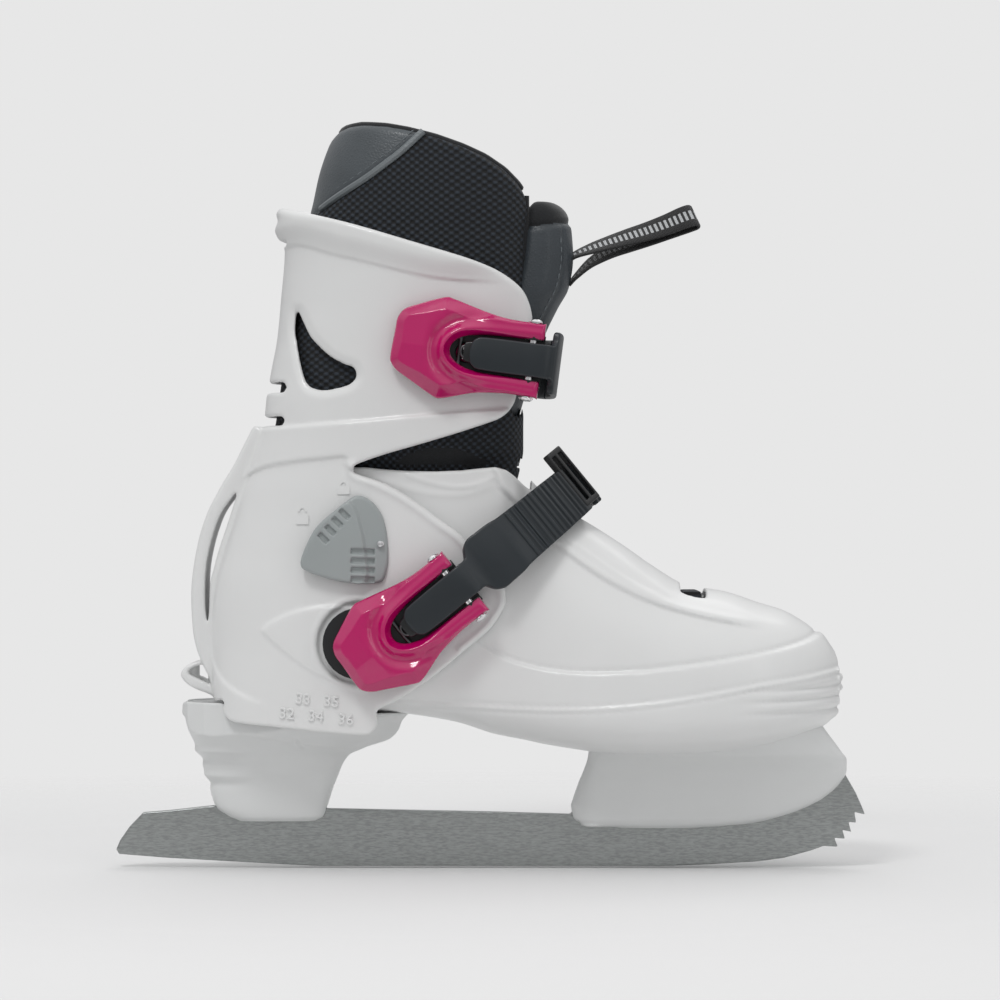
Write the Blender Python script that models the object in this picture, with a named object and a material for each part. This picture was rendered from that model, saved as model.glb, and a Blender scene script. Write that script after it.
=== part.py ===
"""Right-foot ice skate with an adjustable hard shell.

Frame: +X points to the toe, -Y is the lateral (outer) side, +Z is up.
The origin lies on the blade's running edge, under the middle of the blade.
Lengths below are in millimetres; mesh data is scaled to metres when it is made.
"""
import math

import bmesh
import bpy
from mathutils import Matrix, Vector

MM = 0.001
GAP = 0.3                     # clearance between neighbouring solids

# Blade and holders
BLADE_THICK = 3.8
HOLDER_SLOT = BLADE_THICK + 2 * GAP
FLANGE_TOP = 58.4             # top of the rear holder, under the sole plate

# Shells
WALL = 3.0
SOLE_BOTTOM = 58.7
SOLE_TOP = 61.7
HEEL_FLOOR = (63.2, 66.2)     # bottom and top of the heel shell's own floor

# Buckles: local frame is a (along the strap), b (across it), n (away from the shell)
UPPER_HINGE = (14.9, 188.1)
UPPER_ANGLE = -7.4
LOWER_HINGE = (-11.9, 105.5)
LOWER_ANGLE = 39.4
PIN_N = 43.0                  # height of the lever's hinge pin above the mid plane
PIN_R = 1.5

KNOB_PIVOT = (-48.4, 122.2)
KNOB_AXLE_R = 2.9


# ---------------------------------------------------------------- helpers
for old in list(bpy.data.objects):
    bpy.data.objects.remove(old, do_unlink=True)

MATERIALS = {}


def material(name, color, rough, metal=0.0):
    if name not in MATERIALS:
        mat = bpy.data.materials.new(name)
        mat.use_nodes = True
        bsdf = mat.node_tree.nodes["Principled BSDF"]
        bsdf.inputs["Base Color"].default_value = (*color, 1.0)
        bsdf.inputs["Roughness"].default_value = rough
        bsdf.inputs["Metallic"].default_value = metal
        MATERIALS[name] = mat
    return MATERIALS[name]


def shell_white():
    return material("shell_white", (0.80, 0.80, 0.79), 0.38)


def holder_white():
    return material("holder_white", (0.72, 0.73, 0.73), 0.42)


def lever_pink():
    return material("lever_pink", (0.58, 0.01, 0.15), 0.12)


def strap_dark():
    return material("strap_dark", (0.03, 0.04, 0.05), 0.45)


def chrome():
    return material("chrome", (0.75, 0.75, 0.76), 0.15, 1.0)


def steel():
    return material("steel", (0.42, 0.43, 0.43), 0.35, 1.0)


def knob_grey():
    return material("knob_grey", (0.36, 0.38, 0.38), 0.4)


def mesh_liner():
    return material("liner_mesh", (0.01, 0.015, 0.02), 0.8)


def leather():
    return material("tongue_leather", (0.06, 0.07, 0.08), 0.5)


def webbing():
    return material("webbing", (0.05, 0.05, 0.05), 0.7)


def finish_mesh(bm):
    bmesh.ops.triangulate(bm, faces=bm.faces[:])
    bmesh.ops.recalc_face_normals(bm, faces=bm.faces[:])
    if bm.calc_volume(signed=True) < 0:
        bmesh.ops.reverse_faces(bm, faces=bm.faces[:])


def add_object(name, bm, mat, matrix=None, smooth=None):
    """Make an object from a bmesh in mm, placed by a matrix whose translation is in mm."""
    finish_mesh(bm)
    bmesh.ops.scale(bm, vec=(MM, MM, MM), verts=bm.verts[:])
    mesh = bpy.data.meshes.new(name)
    bm.to_mesh(mesh)
    bm.free()
    if smooth is not None:
        mesh.shade_smooth()
        mesh.set_sharp_from_angle(angle=math.radians(smooth))
    obj = bpy.data.objects.new(name, mesh)
    bpy.context.scene.collection.objects.link(obj)
    if mat is not None:
        mesh.materials.append(mat)
    if matrix is not None:
        placed = matrix.copy()
        placed.translation = matrix.translation * MM
        obj.matrix_world = placed
    return obj


def loft(rings):
    """Closed bmesh through equal-length rings of points, capped at both ends."""
    bm = bmesh.new()
    rows = [[bm.verts.new(p) for p in ring] for ring in rings]
    count = len(rows[0])
    for low, high in zip(rows, rows[1:]):
        for i in range(count):
            j = (i + 1) % count
            bm.faces.new((low[i], low[j], high[j], high[i]))
    bm.faces.new(rows[0])
    bm.faces.new(rows[-1])
    return bm


def prism(outline, low, high, axes="xz"):
    """Closed bmesh: a 2-D outline swept between two values of the third axis."""
    order = {"xz": (0, 2, 1), "xy": (0, 1, 2), "yz": (1, 2, 0)}[axes]

    def point(u, v, w):
        p = [0.0, 0.0, 0.0]
        p[order[0]], p[order[1]], p[order[2]] = u, v, w
        return p
    return loft([[point(u, v, low) for u, v in outline], [point(u, v, high) for u, v in outline]])


def turned(profile, sides=16):
    """Closed bmesh: (radius, height) profile turned about local z, radius > 0 everywhere."""
    rings = []
    for radius, height in profile:
        rings.append([(radius * math.cos(2 * math.pi * i / sides),
                       radius * math.sin(2 * math.pi * i / sides), height) for i in range(sides)])
    return loft(rings)


def block(x0, x1, y0, y1, z0, z1):
    return prism([(x0, y0), (x1, y0), (x1, y1), (x0, y1)], z0, z1, "xy")


def cutter(bm, matrix=None):
    obj = add_object("cutter", bm, None, matrix)
    obj.hide_render = True
    obj.display_type = "WIRE"
    return obj


def closed_volume(mesh):
    """Signed volume of a mesh in cubic metres, or 0 when it has an open or shared edge."""
    bm = bmesh.new()
    bm.from_mesh(mesh)
    closed = len(bm.faces) > 0 and all(len(e.link_faces) == 2 for e in bm.edges)
    volume = bm.calc_volume(signed=True) if closed else 0.0
    bm.free()
    return volume


def plausible(volume, body, tool, operation):
    """Whether a boolean's volume fits its two inputs, so a lost solid is noticed."""
    slack = 1e-12
    if operation == "UNION":
        return max(body, tool) - slack <= volume <= body + tool + slack
    if operation == "INTERSECT":
        return slack < volume <= min(body, tool) + slack
    return max(slack, body - tool - slack) <= volume <= body + slack


def carve(obj, bm, operation="DIFFERENCE", matrix=None):
    """Apply a boolean with a throw-away tool solid, in world space."""
    tool = cutter(bm, matrix)
    bpy.context.view_layer.update()
    sizes = closed_volume(obj.data), closed_volume(tool.data)
    mod = obj.modifiers.new("cut", "BOOLEAN")
    mod.operation = operation
    mod.object = tool
    # EXACT first, then nudged by a hundredth of a millimetre, then MANIFOLD
    for solver, nudge in (("EXACT", 0.0), ("EXACT", 1.3e-5), ("MANIFOLD", 0.0)):
        mod.solver = solver
        tool.location = [c + nudge for c in tool.location]
        deps = bpy.context.evaluated_depsgraph_get()
        deps.update()
        result = bpy.data.meshes.new_from_object(obj.evaluated_get(deps))
        if plausible(closed_volume(result), *sizes, operation):
            break
    obj.modifiers.remove(mod)
    old, tool_mesh = obj.data, tool.data
    obj.data = result
    bpy.data.meshes.remove(old)
    bpy.data.objects.remove(tool, do_unlink=True)
    bpy.data.meshes.remove(tool_mesh)
    result.name = obj.name


def carved(bm, tool, operation="DIFFERENCE"):
    """The bmesh (mm) left after one solid is carved by another."""
    obj = cutter(bm)
    carve(obj, tool, operation)
    out = bmesh.new()
    out.from_mesh(obj.data)
    bmesh.ops.scale(out, vec=(1 / MM, 1 / MM, 1 / MM), verts=out.verts[:])
    mesh = obj.data
    bpy.data.objects.remove(obj, do_unlink=True)
    bpy.data.meshes.remove(mesh)
    return out


def sample(table, x):
    """Piecewise-linear value at x from a sorted list of (x, value...) rows."""
    if x <= table[0][0]:
        return table[0][1:]
    for left, right in zip(table, table[1:]):
        if x <= right[0]:
            t = (x - left[0]) / (right[0] - left[0])
            return tuple(a + (b - a) * t for a, b in zip(left[1:], right[1:]))
    return table[-1][1:]


def power(value, exponent):
    return math.copysign(abs(value) ** exponent, value)


def frame_matrix(hinge, angle):
    """Local (a, b, n) axes of a buckle to world: a along the strap, n away from the foot."""
    c, s = math.cos(math.radians(angle)), math.sin(math.radians(angle))
    rows = Matrix(((c, -s, 0.0), (0.0, 0.0, -1.0), (s, c, 0.0))).to_4x4()
    rows.translation = Vector((hinge[0], 0.0, hinge[1]))
    return rows


def on_axis(origin, direction):
    """Matrix whose local z runs along direction, placed at origin (mm)."""
    turn = Vector((0, 0, 1)).rotation_difference(Vector(direction).normalized())
    mat = turn.to_matrix().to_4x4()
    mat.translation = Vector(origin)
    return mat


# ---------------------------------------------------------------- blade
BLADE = [
    (-139, 4.7), (-140, 6.5), (-138.5, 10), (-135, 15), (-130, 20.2), (-120, 21), (-102, 23),
    (-98, 23), (-96, 30), (-66, 30), (-64, 22), (-60, 21.7), (0, 20.5), (30, 19.6), (38, 28),
    (110, 30), (126, 34.7), (133, 34.7), (135, 31.2), (137, 27.7), (139, 23.2), (140.5, 19.5),
    (136.5, 20.4), (137.2, 16.4), (134.3, 16.7), (135.3, 13), (132, 13.7), (133, 10.4),
    (129, 10.7), (130.3, 7.4), (125, 7.7), (120, 5.9), (110, 3.2), (100, 1.9), (80, 0.7), (60, 0),
    (-60, 0), (-80, 1.0), (-120, 3.2),
]
BLADE_CUT = [
    (-150, -5), (-150, 26), (-99, 26), (-97, 30.6), (-65, 30.6), (-62.5, 23), (-60, 22.2),
    (29, 20.2), (37.5, 28.6), (110, 30.6), (125.8, 35.3), (150, 35.3), (150, -5),
]


def build_blade():
    y = BLADE_THICK / 2
    obj = add_object("blade", prism(BLADE, -y, y), steel())
    return obj


# Rear holder: height, back, front, half width
REAR_HOLDER = [
    (17.2, -94, -65, 6.0), (19, -98, -62, 8.0), (23, -103, -60.8, 9.0), (30, -105, -58.6, 10.0),
    (35, -106, -56.6, 11.0), (38, -107.6, -55.4, 12.5), (42, -108.4, -52.5, 14.5),
    (45, -109.8, -46, 17.5), (48, -111.2, -37.5, 21.0), (51, -112.6, -34.4, 24.5),
    (54.5, -113.6, -33.0, 27.0), (FLANGE_TOP, -114.0, -28.0, 28.0),
]
# Front holder
FRONT_HOLDER = [
    (14.6, 48, 78, 5.0), (16, 36, 96, 7.0), (18.5, 30.9, 108, 8.5), (22, 30.3, 118, 9.0),
    (26, 31.5, 125.5, 9.5), (31, 33.4, 131, 10.5), (36, 35.8, 133.6, 13.0), (40, 37.3, 133.6, 17.0),
    (43.2, 37.6, 131.5, 21.0),
]


def plan_ring(back, front, half, z, power_n=3.2, sides=24, nose=0.0):
    """Rounded plan outline; nose shifts the front end sideways."""
    cx, a = (front + back) / 2, (front - back) / 2
    ring = []
    for i in range(sides):
        t = 2 * math.pi * i / sides
        cx_t, cy_t = power(math.cos(t), 2 / power_n), power(math.sin(t), 2 / power_n)
        shift = nose * max(0.0, cx_t) ** 2
        ring.append((cx + a * cx_t, half * cy_t + shift, z))
    return ring


def build_rear_holder():
    rings = [plan_ring(b, f, w, z) for z, b, f, w in REAR_HOLDER]
    obj = add_object("rear_holder", loft(rings), holder_white())
    carve(obj, prism(flange_plan(-0.3), 0, 80, "xy"), "INTERSECT")
    carve(obj, toe_solid(-GAP))
    carve(obj, prism(BLADE_CUT, -HOLDER_SLOT / 2, HOLDER_SLOT / 2))
    return obj


def build_front_holder():
    rings = [plan_ring(b, f, w, z) for z, b, f, w in FRONT_HOLDER]
    rings.append(plan_ring(38.2, 124.0, 26.0, 53.5))
    obj = add_object("front_holder", loft(rings), holder_white())
    carve(obj, toe_solid(-GAP))
    carve(obj, prism(BLADE_CUT, -HOLDER_SLOT / 2, HOLDER_SLOT / 2))
    return obj


# ---------------------------------------------------------------- toe shell
# x, sole height, crest height, half width, centre shift toward the big toe
TOE = [
    (-102, SOLE_BOTTOM, 420, 31.2, 0), (-60, SOLE_BOTTOM, 420, 31.2, 0),
    (-38, SOLE_BOTTOM, 420, 31.2, 0), (-26, 57.5, 400, 31.2, 0), (-10, 54.6, 320, 31.4, 0),
    (0, 52.2, 230, 32.0, 0), (8, 50.6, 162, 33.0, 0), (13, 49.7, 143.6, 34.0, 0),
    (20, 48.2, 138.0, 35.4, 0), (29, 46.7, 131.9, 37.2, 0), (40, 45.2, 125.2, 39.6, 0.4),
    (50, 44.6, 118.7, 41.6, 1.0), (60, 44.4, 111.7, 43.2, 1.8), (72, 44.6, 104.6, 44.2, 2.8),
    (80, 45.0, 103.0, 44.2, 3.6), (90, 45.7, 101.5, 43.4, 4.4), (100, 47.0, 99.0, 41.4, 5.2),
    (110, 49.2, 96.0, 37.4, 6.2), (118, 51.4, 92.0, 31.8, 7.0), (124, 54.2, 87.0, 24.8, 7.6),
    (128, 58.0, 80.5, 17.5, 8.0), (130.2, 64.0, 73.4, 8.5, 8.2),
]
TOE_ZMAX = [(-102, 80), (0, 76), (40, 68), (90, 66), (118, 66), (130.2, 69)]


def sole_height(x):
    return sample(TOE, x)[0]


def toe_ring(x, inset=0.0, sides=24):
    """Cross-section of the toe shell at x, moved inward by inset."""
    bottom, top, half, shift = sample(TOE, x)
    level = sample(TOE_ZMAX, x)[0]
    bottom, top, half = bottom + inset, top - inset, half - inset
    ring = []
    for i in range(sides):
        t = 2 * math.pi * i / sides
        c, s = math.cos(t), math.sin(t)
        up = s >= 0
        n = 2.3 if up else 3.4
        height = (top - level) if up else (level - bottom)
        ring.append((x, shift + half * power(c, 2 / n), level + height * power(s, 2 / n)))
    return ring


def toe_solid(inset=0.0, start=-102.0, end=130.2, shift=0.0):
    stations = sorted({start, end, *[row[0] for row in TOE if start < row[0] < end]})
    rings = [toe_ring(x, inset) for x in stations]
    return loft([[(px + shift, py, pz) for px, py, pz in ring] for ring in rings])


# Plan outline of the rear sole plate and the rear holder's flange
def flange_plan(grow=0.0, reach=0.0):
    half = [(-114.5 - grow, 6), (-112, 12), (-106, 18), (-98, 22), (-88, 25.4), (-75, 27.6),
            (-60, 28.6), (0 + reach, 28.6)]
    right = [(x, -(w + grow)) for x, w in half]
    left = [(x, w + grow) for x, w in reversed(half)]
    return right + left


THROAT = [
    (-140, 62.2), (-62, 62.2), (-60, 149.6), (-45, 149.2), (-38, 148.4), (-30, 148), (-10, 148.2),
    (0, 149.2), (3, 149.2), (6, 148), (9, 146), (13, 142.6), (13, 460), (-140, 460),
]


def build_toe_shell():
    obj = add_object("toe_shell", toe_solid(), shell_white(), smooth=35)
    carve(obj, toe_solid(WALL, -120.0, 126.0))
    carve(obj, prism(THROAT, -60, 60))
    # the sole plate keeps the plan outline of the rear holder
    plate = flange_plan(-0.4)
    trim = prism([(-140, -60), (-62, -60), (-62, 60), (-140, 60)], 40, 62.5, "xy")
    carve(obj, carved(trim, prism(plate, 30, 70, "xy")))
    # slot in the side wall where the size lock's cam travels and grips
    carve(obj, block(-70, -37.2, -45, -20, 113.6, 130.8))
    # vent hole on the crest
    carve(obj, prism([(71.5, 99), (72.2, 104), (80.2, 104.5), (80.2, 101), (78, 98.8)], -9, 9))
    return obj


# ---------------------------------------------------------------- rear shell
# height, back, front, half width, roundness
REAR = [
    (50, -101.0, 60, 35.0, 4.4), (60, -101.8, 60, 35.2, 4.2), (70, -103.0, 60, 35.4, 3.8),
    (82, -103.9, 60, 35.6, 3.4), (94, -104.4, 60, 35.8, 3.2), (106, -103.3, 58, 35.8, 3.1),
    (119, -100.0, 56, 35.8, 3.0), (130, -96.4, 54, 35.8, 3.0), (141, -92.6, 50, 36.0, 3.0),
    (152, -88.4, 44, 36.3, 2.9), (165, -84.6, 38, 37.0, 2.8), (175, -83.6, 35, 37.6, 2.7),
    (185, -81.9, 33.5, 38.2, 2.6), (198, -79.5, 32.5, 39.0, 2.6), (212, -78.2, 32, 39.8, 2.5),
    (229, -76.8, 32, 40.6, 2.5), (234, -79.0, 34, 42.4, 2.5), (240, -80.6, 34.5, 43.4, 2.5),
    (248, -80.8, 34.5, 43.6, 2.5),
]


def rear_solid(inset=0.0, low=50.0, high=248.0):
    stations = sorted({low, high, *[row[0] for row in REAR if low < row[0] < high]})
    rings = []
    for z in stations:
        back, front, half, n = sample(REAR, z)
        rings.append(plan_ring(back + inset, front - inset, half - inset, z, n, 28))
    return loft(rings)


REAR_SIDE = [
    (-112, 63.8), (-99.5, 63.8), (-98.6, 60), (-97.0, 57), (-94, 55.6), (-88, 54.9), (-78, 54.0),
    (-68, 52.9), (-58, 51.9), (-50, 51.3), (-45, 51.2), (-43.3, 52), (-41.6, 54), (-40.9, 56.7),
    (-41.2, 60.2), (-35, 63.4), (-28, 67.6), (-19, 73.9), (-9.5, 82), (0, 90), (5.4, 98.4),
    (5.8, 102.2), (5.0, 106), (-1, 113), (-10.5, 124.4), (-17.8, 129.8), (-25, 135.2),
    (-32, 139.9), (-39.4, 143.8), (-49, 147.0), (-49.6, 148.9), (-48.6, 150.4), (-39, 153.8),
    (-29, 156.7), (-19, 159.6), (-9.6, 162.5), (0, 165.7), (4, 167.4), (6.9, 169.8),
    (8.9, 172.8), (9.8, 176), (15.4, 202), (15.5, 205), (14.7, 208.8), (12.8, 213.2),
    (9.8, 216.6), (5, 220), (0, 222.5), (-9.6, 225.9), (-29.1, 231.7), (-48.6, 237.6),
    (-64.2, 241.9), (-74.4, 245.0), (-79, 246.6), (-84, 246), (-112, 240),
]
CUFF_WINDOW = [
    (-71, 206.8), (-71.8, 200), (-71, 195.1), (-70, 189.3), (-68.5, 183.4), (-67.1, 180.2),
    (-64.6, 178.3), (-60.3, 177.6), (-55.4, 178.4), (-51.5, 179.6), (-49.3, 181.5),
    (-48.8, 183.4), (-50, 185.9), (-53, 186.9), (-58.3, 189.8), (-62.7, 193.7), (-66.1, 197.6),
    (-68.5, 202.4),
]
STRUT = [
    (-86, 166), (-90, 160.7), (-95, 150.7), (-99, 144.2), (-102, 138.7), (-105, 132.7),
    (-108, 123.7), (-110, 113.7), (-111, 104.7), (-111, 97.7), (-110.5, 89.7), (-109.5, 83.7),
    (-107.5, 77.7), (-105, 72.7), (-101.5, 67.5), (-99.4, 67.5), (-101.2, 81), (-101.5, 95),
    (-100.6, 106), (-97.2, 119), (-93.3, 131), (-89.8, 141), (-85.8, 152),
]
STRUT_OPENING = [
    (-94.2, 139.6), (-97, 136.7), (-100, 132.2), (-102.2, 126.7), (-104.2, 119.7),
    (-105.6, 111.7), (-105.7, 99.7), (-105.0, 93.0), (-104.75, 93.0), (-104.7, 96),
    (-104.0, 106), (-100.7, 119), (-97, 130),
]
LOOP = [(-102, 64.6), (-103, 65.3), (-110, 67.8), (-113.5, 69.5), (-115.5, 72.2), (-113, 75.8),
        (-109, 77.2), (-104, 78), (-102, 78)]


def build_rear_shell():
    obj = add_object("rear_shell", rear_solid(), shell_white(), smooth=35)
    carve(obj, prism(REAR_SIDE, -70, 70), "INTERSECT")
    inner = rear_solid(WALL, HEEL_FLOOR[1], 260.0)
    carve(obj, inner)
    # room for the toe shell's rear end, over the whole size travel
    carve(obj, toe_solid(-0.4, -62.0, 20.0, shift=-3.0))
    carve(obj, block(-62.5, 70, -31.8, 31.8, 62.4, 160))
    # channel for the sole plate and the rear holder's flange
    carve(obj, prism(flange_plan(0.5, 60), 30, HEEL_FLOOR[0], "xy"))
    carve(obj, block(-40.5, 71, -31.7, 31.7, 30, 70))
    # back strut over the tendon, with its see-through gap
    carve(obj, prism(STRUT, -15, 15), "UNION")
    carve(obj, prism(STRUT_OPENING, -40, 40))
    carve(obj, prism(CUFF_WINDOW, -70, 70))
    # slots at the back of the cuff
    carve(obj, block(-90, -76.5, -9, 9, 165, 168))
    carve(obj, block(-90, -76.5, -9, 9, 177.2, 180.7))
    # loop at the heel
    carve(obj, prism(LOOP, -11, 11), "UNION")
    carve(obj, prism([(-108.5, 60), (-105.5, 60), (-105.5, 90), (-108.5, 90)], -7.5, 7.5))
    # holes for the knob's axle, buckle rivets and strap rivets
    carve(obj, turned([(KNOB_AXLE_R + GAP, -60), (KNOB_AXLE_R + GAP, 0)], 20),
          matrix=on_axis((KNOB_PIVOT[0], -0.0, KNOB_PIVOT[1]), (0, 1, 0)))
    for x, z, side in RIVETS.values():
        y = (-20, -60) if side < 0 else (60, 20)
        carve(obj, turned([(2.0 + GAP, 0), (2.0 + GAP, abs(y[0] - y[1]))], 16),
              matrix=on_axis((x, min(y), z), (0, 1, 0)))
    return obj


def shell_clearance():
    """The rear shell's outer form plus a gap, for pieces that lie on it."""
    return carved(rear_solid(-GAP, 52, 246), prism(REAR_SIDE, -80, 80), "INTERSECT")


# ---------------------------------------------------------------- rivets (x, z, side)
RIVETS = {
    "upper_base_rivet": (-9.0, 191.0, -1),
    "lower_base_rivet": (-47.9, 84.9, -1),
    "upper_strap_rivet": (-6.0, 190.0, 1),
    "lower_strap_rivet": (-20.0, 98.5, 1),
}


# height of each rivet head's seat above the shell
RIVET_SEAT = {"upper_base_rivet": 1.6, "lower_base_rivet": 3.2, "upper_strap_rivet": 3.0,
              "lower_strap_rivet": 3.0}


def shell_half(x, z):
    """Half width of the rear shell's outer surface at x, z."""
    back, front, half, n = sample(REAR, z)
    u = abs((x - (front + back) / 2) / ((front - back) / 2))
    return half * max(0.0, 1 - min(u, 1.0) ** n) ** (1 / n)


def build_rivet(name):
    x, z, side = RIVETS[name]
    skin = shell_half(x, z)
    seat = skin + RIVET_SEAT[name]
    profile = [(0.6, seat + 1.2), (2.8, seat + 1.0), (3.6, seat + 0.5), (3.6, seat), (1.9, seat),
               (1.9, skin - WALL - 0.8)]
    if name.startswith("upper"):
        profile += [(3.2, skin - WALL - 0.8), (3.0, skin - WALL - 1.5), (0.6, skin - WALL - 1.6)]
    else:   # ends inside the wall, because the toe shell slides past it
        profile[-1] = (1.9, 32.1)
        profile += [(0.6, 32.0)]
    direction = (0, side, 0)
    return add_object(name, turned(profile, 12), chrome(), on_axis((x, 0, z), direction), 40)


# ---------------------------------------------------------------- soft goods
# height, back, front, half width of the liner's leg
LEG = [
    (80, -99.6, 0, 27.0), (94, -100.4, 0, 27.4), (110, -98, 4, 27.4), (125, -93.4, 6, 27.3),
    (140, -88.4, 9, 27.1), (150, -84.4, 11.5, 27.1), (156, -82.6, 11, 29.2), (165, -80.4, 10, 31.4),
    (180, -78.2, 12, 33.2), (200, -75, 15.5, 34.6), (229, -72.4, 16, 36), (244, -66.5, 16.6, 35),
    (262, -61.5, 14, 33.5), (270, -59, 9, 32), (278.4, -53, -8, 26),
]
# x, bottom, top, half width of the liner's foot
FOOT = [
    (-98, 78, 96, 8), (-95, 70, 104, 18), (-88, 67, 118, 25), (-75, 66.5, 130, 27.6),
    (-60, 66.5, 140, 27.6), (-40, 66, 146, 27.6), (-25, 63, 148, 27.6), (-10, 60.6, 150, 27.8),
    (2, 58.8, 146, 27.6), (12, 56.6, 137.0, 28.0), (22, 55.0, 130.5, 29.4), (35, 52.2, 122, 32.2),
    (50, 49.8, 112, 35.8), (65, 48.6, 103, 38.4), (80, 48.6, 97.5, 39.2), (92, 49.4, 95.4, 38.0),
    (102, 51, 92.5, 34.5), (109, 54, 88, 27), (113, 60, 80, 14),
]
# height, back, front, half width of the tongue
TONGUE = [
    (150, 1.0, 11.0, 10), (158, 0.0, 10.6, 13), (165, 0.5, 10.6, 15), (176, 2.0, 13.0, 17),
    (188, 4.0, 16.5, 18), (200, 6.0, 21.0, 18.5), (209, 8.0, 25.4, 19), (217, 10, 29.6, 19),
    (233, 13.0, 31.2, 19), (242, 14.2, 29, 18), (248.2, 15.5, 21.5, 15),
]


def leg_ring(z, inset=0.0):
    back, front, half = sample(LEG, z)
    return plan_ring(back + inset, front - inset, half - inset, z, 2.4, 20)


def leg_solid(inset=0.0, low=80.0, high=278.4):
    stations = sorted({low, high, *[row[0] for row in LEG if low < row[0] < high]})
    return loft([leg_ring(z, inset) for z in stations])


def foot_solid(inset=0.0, start=-98.0, end=113.0):
    stations = sorted({start, end, *[row[0] for row in FOOT if start < row[0] < end]})
    rings = []
    for x in stations:
        bottom, top, half = sample(FOOT, x)
        shift = 0.0 if x < 40 else (x - 40) * 0.085
        level = bottom + (top - bottom) * 0.42
        ring = []
        for i in range(20):
            t = 2 * math.pi * i / 20
            c, s = math.cos(t), math.sin(t)
            height = (top - inset - level) if s >= 0 else (level - bottom - inset)
            n = 2.3 if s >= 0 else 4.0
            ring.append((x, shift + (half - inset) * power(c, 2 / n), level + height * power(s, 2 / n)))
        rings.append(ring)
    return loft(rings)


def tongue_solid(grow=0.0):
    rings = []
    for z, back, front, half in TONGUE:
        rings.append(plan_ring(back - grow, front + grow, half + grow, z, 2.3, 20))
    if grow:
        rings[0] = [(x, y, z - grow) for x, y, z in rings[0]]
        rings[-1] = [(x, y, z + 40) for x, y, z in rings[-1]]
    return loft(rings)


LINER_WALL = 5.0


def build_liner():
    obj = add_object("liner", foot_solid(), mesh_liner(), smooth=40)
    carve(obj, leg_solid(), "UNION")
    hollow_foot = foot_solid(LINER_WALL, -92.0, 108.0)
    hollow_leg = leg_solid(LINER_WALL, 84.0, 278.4)
    carve(obj, hollow_foot)
    carve(obj, hollow_leg)
    carve(obj, block(-70, 40, -24, 24, 270, 300))
    carve(obj, tongue_solid(GAP))
    carve(obj, prism([(2, 249), (40, 249), (40, 300), (2, 300)], -17, 17))
    return obj


def build_tongue():
    return add_object("tongue", tongue_solid(), leather(), smooth=40)


def build_insole():
    """Flat pad on the liner's floor."""
    rings = []
    for x in (-84, -78, -70, -40, -20, 0, 20, 40, 60, 80, 90, 98):
        bottom, top, half = sample(FOOT, x)
        level = bottom + (top - bottom) * 0.42
        z = bottom + LINER_WALL + 2.2
        depth = (level - z) / (level - bottom - LINER_WALL)
        half = (half - LINER_WALL) * (1 - depth ** 4) ** 0.25 - 1.5
        shift = 0.0 if x < 40 else (x - 40) * 0.085
        rings.append([(x, shift - half, z), (x, shift + half, z), (x, shift + half, z + 3.0),
                      (x, shift - half, z + 3.0)])
    return add_object("insole", loft(rings), material("insole", (0.2, 0.2, 0.2), 0.8))


PULL_LOOP = [
    (31.0, 227.5), (34, 229.5), (45, 233.4), (57, 236.8), (66, 240.0), (75.0, 242.6),
    (78.6, 241.0), (76.4, 238.2), (66, 236.2), (57, 234.2), (45, 230.2), (36, 225.6), (31.6, 222.0),
]


def build_pull_loop():
    """Folded webbing 10 mm wide, standing out from the tongue's front."""
    half = 0.45
    rings = []
    for i, (x, z) in enumerate(PULL_LOOP):
        ax, az = PULL_LOOP[max(i - 1, 0)]
        bx, bz = PULL_LOOP[min(i + 1, len(PULL_LOOP) - 1)]
        nx, nz = -(bz - az), bx - ax
        size = math.hypot(nx, nz)
        nx, nz = nx / size * half, nz / size * half
        rings.append([(x + nx, -5, z + nz), (x + nx, 5, z + nz), (x - nx, 5, z - nz), (x - nx, -5, z - nz)])
    return add_object("pull_loop", loft(rings), webbing())


# ---------------------------------------------------------------- buckles
LEVER = [
    (4, -12.5), (2.5, -13.4), (-8, -13.4), (-20, -14.6), (-31.5, -18.2), (-42.5, -13.2),
    (-48.5, -9.2), (-50.5, -4.8), (-50.1, 5), (-49.2, 10), (-44, 14.3), (-33, 18.4), (-25, 17),
    (-17, 15), (-8.9, 13.6), (2.5, 13.4), (4, 12.5), (4, 9.8), (-9, 9.8), (-11, 7.0),
    (-22, 6.6), (-26.5, 4.6), (-29, 1.5), (-29, -1.5), (-26.5, -4.6), (-22, -6.6),
    (-11, -7.0), (-9, -9.8), (4, -9.8),
]
HOOK_PIN_A = -26.0


def build_lever(name, frame):
    rings = []
    for n, grow in ((PIN_N - 2.2, 0.0), (PIN_N + 3.0, 0.0), (PIN_N + 6.6, 1.2)):
        ring = []
        for i, (a, b) in enumerate(LEVER):
            ring.append((a * (1 - 0.01 * grow), b - math.copysign(grow * (abs(b) > 10), b), n))
        rings.append(ring)
    obj = add_object(name, loft(rings), lever_pink(), frame, 35)
    # round the arm ends about the pin, so that the lever clears the strap when it opens
    tip = [(9, PIN_N - 4), (9, PIN_N + 12), (-11, PIN_N + 12), (-8, PIN_N + 6.8), (-4, PIN_N + 5.4),
           (0, PIN_N + 4.3), (2.2, PIN_N + 3.7), (3.6, PIN_N + 2.2), (4.2, PIN_N), (4.2, PIN_N - 4)]
    carve(obj, loft([[(a, b, n) for a, n in tip] for b in (-20, 20)]), matrix=frame)
    carve(obj, turned([(PIN_R + GAP, -30), (PIN_R + GAP, 30)], 14), matrix=frame @ across(0.0, PIN_N))
    carve(obj, turned([(1.3, -9.2), (1.3, 9.2)], 12), matrix=frame @ across(HOOK_PIN_A, PIN_N + 4.6))
    return obj


def across(a, n):
    """Local matrix of a pin lying along b at (a, n)."""
    mat = Matrix.Rotation(math.radians(-90), 4, "X")
    mat.translation = Vector((a, 0.0, n))
    return mat


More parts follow.
